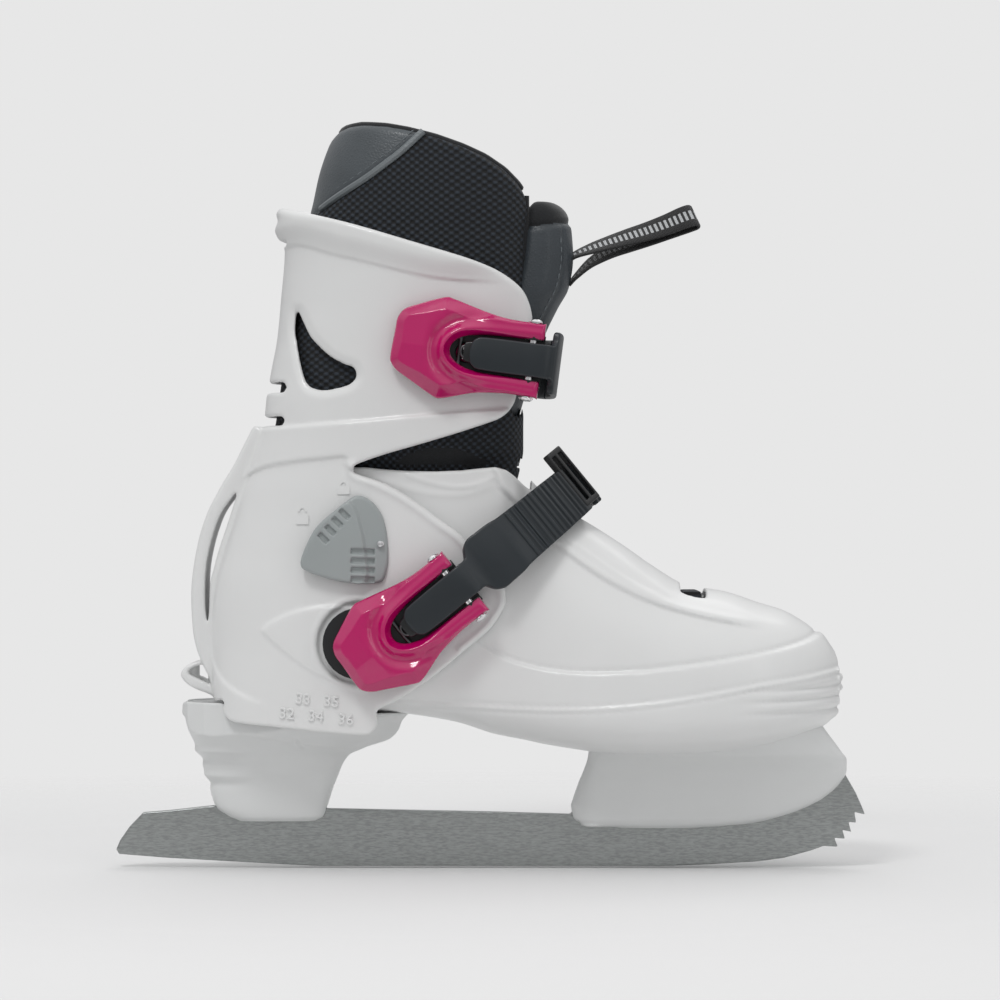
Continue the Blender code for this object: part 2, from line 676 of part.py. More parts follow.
def build_lever_pin(name, frame):
    profile = [(0.5, -14.9), (2.2, -14.6), (2.6, -13.7), (PIN_R, -13.7), (PIN_R, 13.7), (2.6, 13.7),
               (2.2, 14.6), (0.5, 14.9)]
    return add_object(name, turned(profile, 12), chrome(), frame @ across(0.0, PIN_N), 40)


def build_hook_pin(name, frame):
    profile = [(1.0, -8.9), (1.0, 8.9)]
    return add_object(name, turned(profile, 12), chrome(), frame @ across(HOOK_PIN_A, PIN_N + 4.6), 40)


def build_base(name, frame, disc=None, reach=(-20, 5)):
    """Plate under the lever with two ears that carry the hinge pin."""
    a0, a1 = reach
    bm = prism([(a0, -9.3), (a1, -9.3), (a1, 9.3), (a0, 9.3)], 28.0, 40.6, "xy")
    obj = add_object(name, bm, strap_dark(), frame, 35)
    for side in (-1, 1):
        low, high = sorted((side * 7.3, side * 9.3))
        ear = [(-5.5, 34), (-5.5, 40.6), (-3.2, 45.6), (0, 46.4), (3.2, 45.6), (4.2, 40.6), (4.2, 34)]
        carve(obj, loft([[(a, low, n) for a, n in ear], [(a, high, n) for a, n in ear]]), "UNION", frame)
    carve(obj, turned([(PIN_R + GAP, -30), (PIN_R + GAP, 30)], 14), matrix=frame @ across(0.0, PIN_N))
    if disc is not None:
        x, z, radius, top = disc
        carve(obj, turned([(radius, -top), (radius, -20)], 32), "UNION", on_axis((x, 0, z), (0, 1, 0)))
    return obj


def strap_band(path, thick):
    """Band through (a, n, half width) points; the points lie on its outer face."""
    rings = []
    for i, (a, n, half) in enumerate(path):
        a0, n0, _ = path[max(i - 1, 0)]
        a1, n1, _ = path[min(i + 1, len(path) - 1)]
        size = math.hypot(a1 - a0, n1 - n0)
        da, dn = (n1 - n0) / size * thick, -(a1 - a0) / size * thick
        rings.append([(a, -half, n), (a, half, n), (a + da, half, n + dn), (a + da, -half, n + dn)])
    return loft(rings)


# Strap paths in the buckles' local frames: a, n of the outer face, half width
UPPER_STRAP = [
    (-21.5, 48.2, 4.0), (-19, 48.2, 6.0), (3.0, 48.2, 6.1), (6.5, 47.2, 6.1), (8.8, 44.6, 6.1),
    (9.4, 43.4, 11.2), (10.2, 39, 11.3), (10.8, 32, 11.3), (11.2, 20, 11.3), (11.4, 0, 11.3),
    (11.0, -14, 11.3), (9.8, -25, 11.3),
]
UPPER_MEDIAL = [
    (9.2, -27.2, 11.3), (7.2, -33.5, 11.3), (2, -39.5, 11.2), (-5, -43.2, 11.0), (-14, -44.6, 11.0),
    (-30, -45.6, 10.0),
]
LOWER_STRAP = [
    (-21.5, 48.2, 4.0), (-19, 48.2, 6.0), (3.0, 48.2, 6.1), (6.5, 47.2, 6.1), (9.2, 45.0, 6.1),
    (10.6, 44.2, 11.2), (18, 43.3, 11.2), (26, 41.2, 10.4), (34, 37.2, 10.0), (42, 31.3, 9.8),
    (49, 24.6, 9.6), (55, 17.6, 9.4),
]
# the inner half, from the ring down to the medial side of the rear shell
MEDIAL_STRAP = [
    (61.6, 5.2, 9.4), (60.5, -3, 9.4), (57, -12, 9.4), (50, -22.5, 9.6), (40, -32, 9.8),
    (27, -39.5, 10), (12, -43, 10), (-2, -43.6, 10), (-12, -43.2, 10), (-17, -43.0, 7),
]
RING_CENTRE = (58.2, 12.4)       # a, n of the middle of the strap ring
# a, n of the point near each strap's root about which it swings when it is unhooked
STRAP_ROOTS = {"upper": (8.3, -26.1), "lower": (61.6, 8.0)}
RING_TILT = 48.0                 # slope of the ring's plate against a


def build_straps(upper, lower):
    add_object("upper_strap", strap_band(UPPER_STRAP, 2.4), strap_dark(), upper, 35)
    inner = add_object("upper_medial_strap", strap_band(UPPER_MEDIAL, 2.4), strap_dark(), upper, 35)
    carve(inner, shell_clearance())
    medial = add_object("lower_medial_strap", strap_band(MEDIAL_STRAP, 2.2), strap_dark(), lower, 35)
    carve(medial, shell_clearance())
    for obj, key in ((inner, "upper_strap_rivet"), (medial, "lower_strap_rivet")):
        x, z, _ = RIVETS[key]
        place = on_axis((x, 0, z), (0, 1, 0))
        carve(obj, turned([(2.2, 20), (2.2, 70)], 16), matrix=place)
        seat = shell_half(x, z) + RIVET_SEAT[key] - GAP
        carve(obj, turned([(4.0, seat), (4.0, 70)], 16), matrix=place)
    add_object("lower_strap", strap_band(LOWER_STRAP, 2.4), strap_dark(), lower, 35)
    # rectangular ring that joins the two halves of the lower strap
    tilt = Matrix.Rotation(math.radians(RING_TILT), 4, "Y")
    tilt.translation = Vector((RING_CENTRE[0], 4.3, RING_CENTRE[1]))
    ring = add_object("strap_ring", block(-4.6, 4.6, -12.0, 12.0, -1.3, 1.3), strap_dark(), lower @ tilt)
    for low, high in ((-3.2, -0.8), (0.8, 3.2)):
        carve(ring, block(low, high, -10.0, 10.0, -3, 3), matrix=lower @ tilt)
    # hook plates under the straps' narrow ends
    for prefix, frame in (("upper", upper), ("lower", lower)):
        path = [(-24.0, 45.3, 4.4), (-12.0, 45.3, 4.4)]
        add_object(prefix + "_hook", strap_band(path, 1.2), chrome(), frame)


# ---------------------------------------------------------------- size lock
KNOB = [
    (-48.2, 138.9), (-50.5, 138.2), (-56.9, 133.2), (-63.0, 127.8), (-66.6, 121.6), (-68.8, 115.8),
    (-68.9, 113.6), (-68.2, 112.2), (-65.5, 110.8), (-61.2, 109.2), (-53.6, 107.3), (-46.5, 106.6),
    (-43.1, 106.7), (-40.4, 107.1), (-38.9, 107.9), (-37.8, 110.6), (-37.0, 114.6), (-37.0, 119),
    (-37.3, 123.6), (-38.0, 128.0), (-39.2, 131.8), (-41.0, 134.6), (-42.9, 136.6), (-45.6, 138.4),
]


def build_size_lock():
    x0, z0 = KNOB_PIVOT
    skin = max(shell_half(x, z) for x in (-60, -48, -38) for z in (107, 122, 138))
    pivot = Matrix.Translation((x0, 0, z0))
    rings = []
    for y, scale in ((skin + GAP, 1.0), (skin + 3.0, 0.97), (skin + 4.5, 0.86)):
        rings.append([((x - x0) * scale, -y, (z - z0) * scale) for x, z in KNOB])
    knob = add_object("size_lock_knob", loft(rings), knob_grey(), pivot, 35)
    place = on_axis((x0, 0, z0), (0, -1, 0))
    carve(knob, turned([(1.5 + GAP, 20), (1.5 + GAP, skin + 3.0)], 16), matrix=place)
    # axle through the shell wall, turning with the knob
    inside = min(shell_half(x0 - 8, z) for z in (z0 - 8, z0 + 8)) - WALL - 0.1
    axle = add_object("size_lock_axle", turned([(KNOB_AXLE_R, inside - 0.1), (KNOB_AXLE_R, skin)], 20),
                      steel(), place, 40)
    carve(axle, turned([(1.5 + GAP, 20), (1.5 + GAP, 60)], 16), matrix=place)
    # screw that ties knob, axle and cam together
    add_object("size_lock_screw", turned([(1.5, inside - 3.2), (1.5, skin + 2.6)], 14), steel(), place, 40)
    # cam on the inner face of the shell wall
    cam = [(-7, 3), (-4, 6), (4, 6), (7, 3), (7, -3), (3, -7), (-3, -7), (-7, -3)]
    rings = [[(u, -y, w) for u, w in cam] for y in (inside - 0.4, inside - 2.6)]
    plate = add_object("size_lock_cam", loft(rings), steel(), pivot)
    carve(plate, turned([(1.5 + GAP, 20), (1.5 + GAP, 60)], 16), matrix=place)


def pivot(name, at, direction, pieces):
    """An empty on a joint's axis, which carries the pieces that move together."""
    place = on_axis(at, direction)
    place.translation = Vector(at) * MM
    empty = bpy.data.objects.new(name, None)
    bpy.context.scene.collection.objects.link(empty)
    empty.matrix_world = place
    for piece in pieces:
        obj = bpy.data.objects[piece]
        obj.parent = empty
        obj.matrix_parent_inverse = place.inverted()


def place_pivots(upper, lower):
    pivot("boot_slide", (0, 0, 0), (1, 0, 0), [
        "rear_shell", "liner", "tongue", "insole", "pull_loop", "upper_base", "lower_base",
        "upper_medial_strap", "lower_medial_strap", *RIVETS])
    pivot("size_lock_pivot", (KNOB_PIVOT[0], -36, KNOB_PIVOT[1]), (0, -1, 0), [
        "size_lock_knob", "size_lock_axle", "size_lock_screw", "size_lock_cam"])
    for prefix, frame in (("upper", upper), ("lower", lower)):
        a, n = STRAP_ROOTS[prefix]
        across_strap = frame.to_3x3() @ Vector((0, 1, 0))
        pivot(prefix + "_lever_pivot", frame @ Vector((0, 0, PIN_N)), across_strap, [
            prefix + "_lever", prefix + "_lever_pin", prefix + "_hook_pin"])
        moving = [prefix + "_strap", prefix + "_hook"] + (["strap_ring"] if prefix == "lower" else [])
        pivot(prefix + "_strap_pivot", frame @ Vector((a, 0, n)), across_strap, moving)


def build_all():
    upper = frame_matrix(UPPER_HINGE, UPPER_ANGLE)
    lower = frame_matrix(LOWER_HINGE, LOWER_ANGLE)

    build_blade()
    rear_holder = build_rear_holder()
    front_holder = build_front_holder()
    toe = build_toe_shell()
    build_rear_shell()
    build_liner()
    build_tongue()
    build_insole()
    build_pull_loop()

    # screws that hold the holders to the sole, heads inside the shell
    for name, x, base in (("rear_screw_back", -88, rear_holder), ("rear_screw_front", -52, rear_holder),
                          ("front_screw_back", 50, front_holder), ("front_screw_front", 98, front_holder)):
        floor = (SOLE_TOP if x < 0 else sole_height(x) + WALL)
        profile = [(0.5, floor - 0.2), (3.4, floor - 0.2), (3.9, floor - 0.6), (3.9, floor - 1.3),
                   (1.7, floor - 1.8), (1.7, floor - 15), (0.5, floor - 16)]
        hole = [(4.3, floor + 4), (4.3, floor - 1.7), (2.0, floor - 2.2), (2.0, floor - 15.5),
                (0.8, floor - 16.6)]
        place = Matrix.Translation((x, 0, 0))
        carve(toe, turned(hole, 16), matrix=place)
        carve(base, turned(hole, 16), matrix=place)
        add_object(name, turned(profile, 12), steel(), place, 40)

    # bases sit on the rear shell's outer surface
    upper_base = build_base("upper_base", upper, reach=(-30, 4.5))
    lower_base = build_base("lower_base", lower, disc=(-47.9, 84.9, 13.0, 40.4), reach=(-34, 4.5))
    for base, key in ((upper_base, "upper_base_rivet"), (lower_base, "lower_base_rivet")):
        carve(base, shell_clearance())
        x, z, _ = RIVETS[key]
        seat = shell_half(x, z) + RIVET_SEAT[key] - GAP
        carve(base, turned([(2.2, 20), (2.2, 60)], 16), matrix=on_axis((x, 0, z), (0, -1, 0)))
        carve(base, turned([(4.0, seat), (4.0, 60)], 16), matrix=on_axis((x, 0, z), (0, -1, 0)))
    for key in RIVETS:
        build_rivet(key)

    for prefix, frame in (("upper", upper), ("lower", lower)):
        build_lever(prefix + "_lever", frame)
        build_lever_pin(prefix + "_lever_pin", frame)
        build_hook_pin(prefix + "_hook_pin", frame)

    build_straps(upper, lower)
    build_size_lock()
    place_pivots(upper, lower)


build_all()
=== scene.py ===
"""Ice skate with an adjustable hard shell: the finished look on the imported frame.

Shapes are worked out in millimetres and made in metres. Moulded pieces are distance fields on a
grid, meshed at their zero level, so that their edges, beads and grooves are round. Buckle pieces
use a local frame: a along the strap, b across it, n away from the foot.
"""
import math

import bmesh
import bpy
import numpy as np
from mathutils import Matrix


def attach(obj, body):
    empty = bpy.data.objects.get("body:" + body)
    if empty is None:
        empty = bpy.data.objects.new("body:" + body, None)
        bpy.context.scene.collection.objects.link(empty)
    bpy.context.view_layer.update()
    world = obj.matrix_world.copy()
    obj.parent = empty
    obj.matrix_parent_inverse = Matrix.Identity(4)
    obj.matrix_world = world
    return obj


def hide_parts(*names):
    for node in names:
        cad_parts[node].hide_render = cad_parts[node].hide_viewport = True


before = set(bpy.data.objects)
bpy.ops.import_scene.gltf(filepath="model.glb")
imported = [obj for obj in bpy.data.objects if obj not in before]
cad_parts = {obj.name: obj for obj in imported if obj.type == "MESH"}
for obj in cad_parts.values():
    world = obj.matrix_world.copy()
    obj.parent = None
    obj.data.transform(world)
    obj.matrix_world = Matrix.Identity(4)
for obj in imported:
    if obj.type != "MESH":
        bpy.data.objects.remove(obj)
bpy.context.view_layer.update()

import openvdb
from mathutils import Matrix, Vector

MM = 0.001
F4 = np.float32
WALL = 3.0                    # thickness of the moulded shells, mm
BACKDROP = (231, 231, 231)    # sRGB
LENS, SENSOR = 134.4, 36.0
CAMERA_PLACE = (0.00375, -1.4, 0.1373)
LIGHT_AIM = (0, 0, 0.12)
LIGHTS = (                    # name, watts, size, place
    ("key", 3.6, (0.3, 0.25), (-0.3, -0.75, 1.05)), ("fill", 0.7, (0.25, 1.0), (1.0, -0.9, 0.45)),
    ("rim", 1.0, (0.8, 0.3), (0.2, 0.7, 0.9)))


# ---------------------------------------------------------------- tables and curves
def steps(rows, x):
    """Smooth (monotone cubic) interpolation of rows (x, v1, v2...) at array x: one array per column."""
    rows = np.array(rows, float)
    xs, out = rows[:, 0], []
    x = np.clip(np.asarray(x, float), xs[0], xs[-1])
    i = np.clip(np.searchsorted(xs, x, side="right") - 1, 0, len(xs) - 2)
    h = np.diff(xs)
    for col in rows[:, 1:].T:
        slope = np.diff(col) / h
        m = np.zeros(len(xs))
        m[0], m[-1] = slope[0], slope[-1]
        same = slope[:-1] * slope[1:] > 0
        w0, w1 = 2 * h[1:] + h[:-1], h[1:] + 2 * h[:-1]
        with np.errstate(divide="ignore", invalid="ignore"):
            m[1:-1] = np.where(same, (w0 + w1) / (w0 / slope[:-1] + w1 / slope[1:]), 0.0)
        t = (x - xs[i]) / h[i]
        out.append(((1 + 2 * t) * (1 - t) ** 2 * col[i] + t * (1 - t) ** 2 * h[i] * m[i]
                    + t * t * (3 - 2 * t) * col[i + 1] + t * t * (t - 1) * h[i] * m[i + 1]).astype(F4))
    return out


def smooth_path(points, closed=False, parts=6):
    """Catmull-Rom points through the given ones."""
    p = np.array(points, float)
    n = len(p)
    out = []
    for i in range(n if closed else n - 1):
        if closed:
            a, b, c, d = p[i - 1], p[i], p[(i + 1) % n], p[(i + 2) % n]
        else:
            a, b, c, d = p[max(i - 1, 0)], p[i], p[i + 1], p[min(i + 2, n - 1)]
        for k in range(parts):
            t = k / parts
            out.append(0.5 * (2 * b + (c - a) * t + (2 * a - 5 * b + 4 * c - d) * t * t
                              + (3 * b - a - 3 * c + d) * t ** 3))
    if not closed:
        out.append(p[-1])
    return np.array(out)


def away(starts, ends, u, v):
    """Distance from the nearest of some straight parts."""
    best = np.full(np.broadcast(u, v).shape, 1e9, F4)
    for (x0, y0), (x1, y1) in zip(starts.tolist(), ends.tolist()):
        dx, dy = x1 - x0, y1 - y0
        t = np.clip(((u - x0) * dx + (v - y0) * dy) / max(dx * dx + dy * dy, 1e-9), 0, 1)
        best = np.minimum(best, (u - x0 - t * dx) ** 2 + (v - y0 - t * dy) ** 2)
    return np.sqrt(best)


def outline(points, u, v, parts=5):
    """Signed distance from a closed smooth outline, negative inside. parts=1 keeps its corners."""
    p = smooth_path(points, True, parts) if parts > 1 else np.array(points, float)
    q = np.roll(p, -1, 0)
    inside = np.zeros(np.broadcast(u, v).shape, bool)
    for (x0, y0), (x1, y1) in zip(p.tolist(), q.tolist()):
        if y0 != y1:
            inside ^= ((y0 > v) != (y1 > v)) & (u < (x1 - x0) * (v - y0) / (y1 - y0) + x0)
    return (np.where(inside, -1, 1) * away(p, q, u, v)).astype(F4)


def line(points, u, v, parts=5):
    """Distance from an open smooth line."""
    p = smooth_path(points, False, parts)
    return away(p[:-1], p[1:], u, v)


def ramp(low, high, x):
    t = np.clip((x - low) / (high - low), 0, 1)
    return t * t * (3 - 2 * t)


def bump(x, width):
    return np.exp(-(x / width) ** 2)


def both(a, b, r=0.0):
    """Where two solids meet, with the shared edge rounded to radius r."""
    if isinstance(r, (int, float)) and r <= 0:
        return np.maximum(a, b)
    return np.minimum(np.maximum(a, b), -r) + np.hypot(np.maximum(a + r, 0), np.maximum(b + r, 0))


def less(a, b, r=0.0):
    return both(a, -b, r)


def either(a, b, r=0.0):
    return -both(-a, -b, r)


def box_field(x, y, z, low, high):
    parts = [np.maximum(l - c, c - h) for c, l, h in zip((x, y, z), low, high)]
    return np.maximum(np.maximum(parts[0], parts[1]), parts[2])


def distance_like(f, step):
    """Divides a field by its slope, so that it measures millimetres near its surface."""
    gx, gy, gz = np.gradient(f, step)
    return f / np.maximum(np.sqrt(gx * gx + gy * gy + gz * gz), 1e-3)


def grid(low, high, fine):
    """Axes of a box of cells, and the cells' size."""
    step = fine
    axes = [np.arange(l, h + step, step, dtype=F4) for l, h in zip(low, high)]
    return axes[0][:, None, None], axes[1][None, :, None], axes[2][None, None, :], step


def column(x, y, back, front, half, n, step):
    """Distance from an upright column, rounded to power n, that spans back to front and +-half."""
    u, v = np.abs((x - (front + back) / 2) / ((front - back) / 2)), np.abs(y) / half
    return distance_like(((u ** n + v ** n) ** (1 / n) - 1).astype(F4), step)


# ---------------------------------------------------------------- mesh building
def link(name, mesh, mats, body, nodes=()):
    obj = bpy.data.objects.new(name, mesh)
    bpy.context.scene.collection.objects.link(obj)
    for mat in mats:
        mesh.materials.append(mat)
    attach(obj, body)
    if nodes:
        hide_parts(*nodes)
    return obj


def field_points(f, low, step):
    """Points (mm) and quads of a field's zero level."""
    vol = openvdb.FloatGrid(float(step) * 4)
    vol.copyFromArray(np.ascontiguousarray(np.clip(f / step, -4, 4), dtype=F4), tolerance=0)
    points, _, quads = vol.convertToPolygons(isovalue=0.0, adaptivity=0.0)
    points = points * step + np.array(low, F4)
    a, b, c, d = (points[quads[:, k]].astype(float) for k in range(4))
    volume = (np.einsum("ij,ij->i", a, np.cross(b, c)) + np.einsum("ij,ij->i", a, np.cross(c, d))).sum()
    return points, quads if volume > 0 else quads[:, ::-1]


def quad_mesh(name, points, quads):
    mesh = bpy.data.meshes.new(name)
    mesh.vertices.add(len(points))
    mesh.vertices.foreach_set("co", (points * MM).astype(F4).ravel())
    mesh.loops.add(quads.size)
    mesh.loops.foreach_set("vertex_index", quads.astype(np.int32).ravel())
    mesh.polygons.add(len(quads))
    mesh.polygons.foreach_set("loop_start", np.arange(0, quads.size, 4, dtype=np.int32))
    mesh.update(calc_edges=True)
    mesh.shade_smooth()
    return mesh


def meshed(name, field, low, step, mats, body, nodes=(), place=None):
    """One piece from a field's zero level; place takes it from a buckle's frame to the world."""
    points, quads = field_points(field, low, step)
    points = points if place is None else to_world(points, place)
    return link(name, quad_mesh(name, points, quads), mats, body, nodes)


def to_world(points, place):
    rot = np.array([list(row[:3]) for row in place][:3])
    return points @ rot.T + np.array([place[0][3], place[1][3], place[2][3]])


def sweep(rings):
    """Points and faces of a capped skin through equal rings of points."""
    count, rows = len(rings[0]), len(rings)
    points, faces = [tuple(p) for ring in rings for p in ring], []
    for r in range(0, (rows - 1) * count, count):
        faces += [(r + i, r + (i + 1) % count, r + count + (i + 1) % count, r + count + i) for i in range(count)]
    faces.append(tuple(range(count))[::-1])
    faces.append(tuple(range((rows - 1) * count, rows * count)))
    return points, faces


def solid(name, parts, mats, body, nodes=(), place=None, smooth=40):
    """One piece from (points, faces) parts in mm."""
    points, faces = [], []
    for more, skin in parts:
        faces += [tuple(i + len(points) for i in f) for f in skin]
        points += more
    mesh = bpy.data.meshes.new(name)
    points = np.array(points, float)
    mesh.from_pydata(((points if place is None else to_world(points, place)) * MM).tolist(), [], faces)
    bm = bmesh.new()
    bm.from_mesh(mesh)
    bmesh.ops.recalc_face_normals(bm, faces=bm.faces[:])
    bm.to_mesh(mesh)
    bm.free()
    mesh.shade_smooth()
    mesh.set_sharp_from_angle(angle=math.radians(smooth))
    return link(name, mesh, mats, body, nodes)


def tube(path, radius, sides=10):
    """Round tube along points; radius may be a number or one value per point."""
    path = [Vector(p) for p in path]
    radii = [radius] * len(path) if isinstance(radius, (int, float)) else radius
    rings, side = [], None
    for p, before, after, r in zip(path, path[:1] + path, path[1:] + path[-1:], radii):
        along = (after - before).normalized()
        side = along.orthogonal() if side is None else side - along * side.dot(along)
        side.normalize()
        up = along.cross(side)
        rings.append([p + (side * math.cos(t) + up * math.sin(t)) * r
                      for t in (2 * math.pi * k / sides for k in range(sides))])
    return sweep(rings)


def turned(profile, sides=40):
    return sweep([[(r * math.cos(2 * math.pi * i / sides), r * math.sin(2 * math.pi * i / sides), h)
                   for i in range(sides)] for r, h in profile])


def moved(part, place):
    return [tuple(place @ Vector(p)) for p in part[0]], part[1]


def on_axis(origin, direction):
    mat = Vector((0, 0, 1)).rotation_difference(Vector(direction).normalized()).to_matrix().to_4x4()
    mat.translation = Vector(origin)
    return mat


def buckle_frame(hinge, angle):
    c, s = math.cos(math.radians(angle)), math.sin(math.radians(angle))
    mat = Matrix(((c, -s, 0.0), (0.0, 0.0, -1.0), (s, c, 0.0))).to_4x4()
    mat.translation = Vector((hinge[0], 0.0, hinge[1]))
    return mat


# ---------------------------------------------------------------- materials
def srgb(r, g, b):
    return tuple(c / 255 / 12.92 if c <= 10 else ((c / 255 + 0.055) / 1.055) ** 2.4 for c in (r, g, b))


class Look:
    """A small helper that wires one node material."""

    def __init__(self, name, color, rough, metal=0.0, **sockets):
        self.mat = bpy.data.materials.new(name)
        self.mat.use_nodes = True
        self.nodes, self.wires = self.mat.node_tree.nodes, self.mat.node_tree.links
        self.bsdf = self.nodes["Principled BSDF"]
        self.color, self.rough = color, rough
        self.bsdf.inputs["Base Color"].default_value = (*color, 1)
        self.bsdf.inputs["Roughness"].default_value = rough
        self.bsdf.inputs["Metallic"].default_value = metal
        for key, value in sockets.items():
            self.bsdf.inputs[key.replace("_", " ")].default_value = value
        self.coords = self.nodes.new("ShaderNodeTexCoord")
        self.heights = []

    def put(self, kind, **values):
        node = self.nodes.new("ShaderNode" + kind)
        for key, value in values.items():
            if hasattr(node, key):
                setattr(node, key, value)
            else:
                node.inputs[key.replace("_", " ")].default_value = value
        return node

    def join(self, a, b):
        self.wires.new(a, b)

    def math(self, op, a, b=None):
        node = self.put("Math", operation=op)
        for i, value in enumerate((a, b)):
            if value is None:
                continue
            if isinstance(value, (int, float)):
                node.inputs[i].default_value = value
            else:
                self.join(value, node.inputs[i])
        return node.outputs[0]

    def mapped(self, scale):
        node = self.put("Mapping", Scale=scale)
        self.join(self.coords.outputs["Object"], node.inputs["Vector"])
        return node.outputs[0]

    def noise(self, scale, detail=3.0, where=None):
        node = self.put("TexNoise", Scale=scale, Detail=detail)
        self.join(where or self.coords.outputs["Object"], node.inputs["Vector"])
        return node.outputs[0]

    def cell_edges(self, scale):
        node = self.put("TexVoronoi", Scale=scale, feature="DISTANCE_TO_EDGE")
        self.join(self.coords.outputs["Object"], node.inputs["Vector"])
        return node.outputs["Distance"]

    def uv(self):
        split = self.put("SeparateXYZ")
        self.join(self.coords.outputs["UV"], split.inputs[0])
        return split.outputs[:2]

    def shade(self, value, dark, light, low=0.3, high=0.7):
        node = self.put("ValToRGB")
        ends = node.color_ramp.elements
        ends[0].position, ends[1].position = low, high
        ends[0].color, ends[1].color = (*dark, 1), (*light, 1)
        self.join(value, node.inputs[0])
        self.join(node.outputs[0], self.bsdf.inputs["Base Color"])
        return self

    def vary_rough(self, value, low, high):
        node = self.put("MapRange", To_Min=low, To_Max=high)
        self.join(value, node.inputs["Value"])
        self.join(node.outputs[0], self.bsdf.inputs["Roughness"])
        return self

    def relief(self, value, depth_mm, strength=1.0):
        node = self.put("Bump", Distance=depth_mm * MM, Strength=strength)
        self.join(value, node.inputs["Height"])
        if self.heights:
            self.join(self.heights[-1].outputs[0], node.inputs["Normal"])
        self.heights.append(node)
        self.join(node.outputs[0], self.bsdf.inputs["Normal"])
        return self


def scaled(color, k):
    return tuple(min(1.0, c * k) for c in color)


def moulded(name, color, rough, coat=0.0, grain=1200, depth=0.012, tone=0.03, **sockets):
    """Moulded plastic: soft mottling, faint texture, small changes in gloss."""
    look = Look(name, color, rough, **{"Coat_Weight": coat, "Coat_Roughness": 0.08, **sockets})
    slow = look.noise(28, 4)
    look.shade(slow, scaled(color, 1 - tone), scaled(color, 1 + tone))
    look.vary_rough(look.noise(160, 3), max(0.02, rough - 0.06), rough + 0.07)
    look.relief(look.noise(grain, 2), depth)
    look.relief(look.noise(90, 2), depth * 3, 0.6)
    return look.mat


WHITE = moulded("shell_white", (0.80, 0.805, 0.80), 0.34, 0.2, tone=0.012)
HOLDER = moulded("holder_white", (0.74, 0.75, 0.745), 0.4, 0.1, tone=0.015)
PINK = moulded("lever_pink", srgb(190, 0, 98), 0.16, 0.7, grain=500, depth=0.005, tone=0.04)
DARK = moulded("strap_dark", srgb(30, 37, 42), 0.42, 0.1, grain=2200, depth=0.02, tone=0.12)
BLACK = moulded("buckle_black", srgb(22, 24, 26), 0.36, 0.1, grain=1500, depth=0.015, tone=0.15)
KNOB_GREY = moulded("knob_grey", srgb(160, 166, 166), 0.38, 0.1, grain=2500, depth=0.02, tone=0.03)


def metal(name, color, rough, stretch, scale, depth, tone=0.15):
    look = Look(name, color, rough, 1.0, Anisotropic=0.4)
    lines = look.noise(scale, 4, look.mapped(stretch))
    look.shade(lines, scaled(color, 1 - tone), scaled(color, 1 + tone), 0.36, 0.64)
    look.vary_rough(lines, rough - 0.07, rough + 0.1)
    look.relief(lines, depth)
    return look.mat


BLADE_STEEL = metal("steel_blade", (0.37, 0.385, 0.38), 0.38, (0.2, 1, 1), 2400, 0.035, 0.15)
SMALL_STEEL = metal("steel_small", (0.5, 0.5, 0.51), 0.3, (1, 1, 0.2), 900, 0.01)
DARK_STEEL = metal("steel_dark", (0.12, 0.12, 0.125), 0.3, (1, 1, 1), 600, 0.01)
CHROME = metal("chrome", (0.82, 0.82, 0.83), 0.12, (1, 1, 1), 300, 0.004)


def air_mesh():
    """Knitted spacer mesh: staggered oval holes 4 mm by 2.7 mm, laid out in millimetres by the UV map."""
    look = Look("liner_mesh", srgb(12, 15, 20), 0.8, Sheen_Weight=0.06, Sheen_Roughness=0.5)
    u, v = look.uv()
    p = look.math("MULTIPLY", u, 2 * math.pi / 4.0)
    q = look.math("MULTIPLY", v, 2 * math.pi / 2.7)
    web = look.math("MULTIPLY", look.math("COSINE", p), look.math("COSINE", q))
    hole = look.math("ADD", look.math("MULTIPLY", web, 0.5), 0.5)
    yarn = look.noise(2600, 3)
    tone = look.math("ADD", hole, look.math("MULTIPLY", look.math("SUBTRACT", yarn, 0.5), 0.35))
    look.shade(tone, srgb(1, 2, 4), srgb(50, 58, 68), 0.35, 0.95)
    look.relief(tone, 0.55)
    look.relief(yarn, 0.08)
    return look.mat


def leather(name, color):
    look = Look(name, color, 0.46, Coat_Weight=0.08)
    grain = look.cell_edges(850)
    look.shade(look.noise(60, 5), scaled(color, 0.85), scaled(color, 1.15))
    look.relief(grain, 0.25, 0.6)
    look.relief(look.noise(2200, 2), 0.03)
    look.vary_rough(grain, 0.4, 0.56)
    return look.mat


def webbing_look():
    """Black webbing with a light ladder down its middle."""
    look = Look("webbing", srgb(20, 20, 22), 0.7, Sheen_Weight=0.2)
    u, v = look.uv()
    bars = look.math("GREATER_THAN", look.math("SINE", look.math("MULTIPLY", u, math.pi)), -0.1)
    inside = look.math("LESS_THAN", look.math("ABSOLUTE", v), 0.42)
    look.shade(look.math("MULTIPLY", bars, inside), srgb(24, 24, 26), srgb(205, 208, 210), 0.4, 0.6)
    ribs = look.math("SINE", look.math("MULTIPLY", u, math.pi * 4))
    look.relief(ribs, 0.12)
    look.relief(look.noise(3000, 2), 0.05)
    return look.mat


MESH = air_mesh()
LEATHER = leather("liner_leather", srgb(74, 80, 84))
TONGUE_LEATHER = leather("tongue_leather", srgb(60, 66, 71))
WEBBING = webbing_look()


def knit(name, color, scale=1500):
    look = Look(name, color, 0.8, Sheen_Weight=0.3, Sheen_Roughness=0.4)
    rows = look.noise(scale, 2, look.mapped((1, 1, 1.8)))
    look.shade(rows, scaled(color, 0.6), scaled(color, 1.5))
    look.relief(rows, 0.12)
    return look.mat


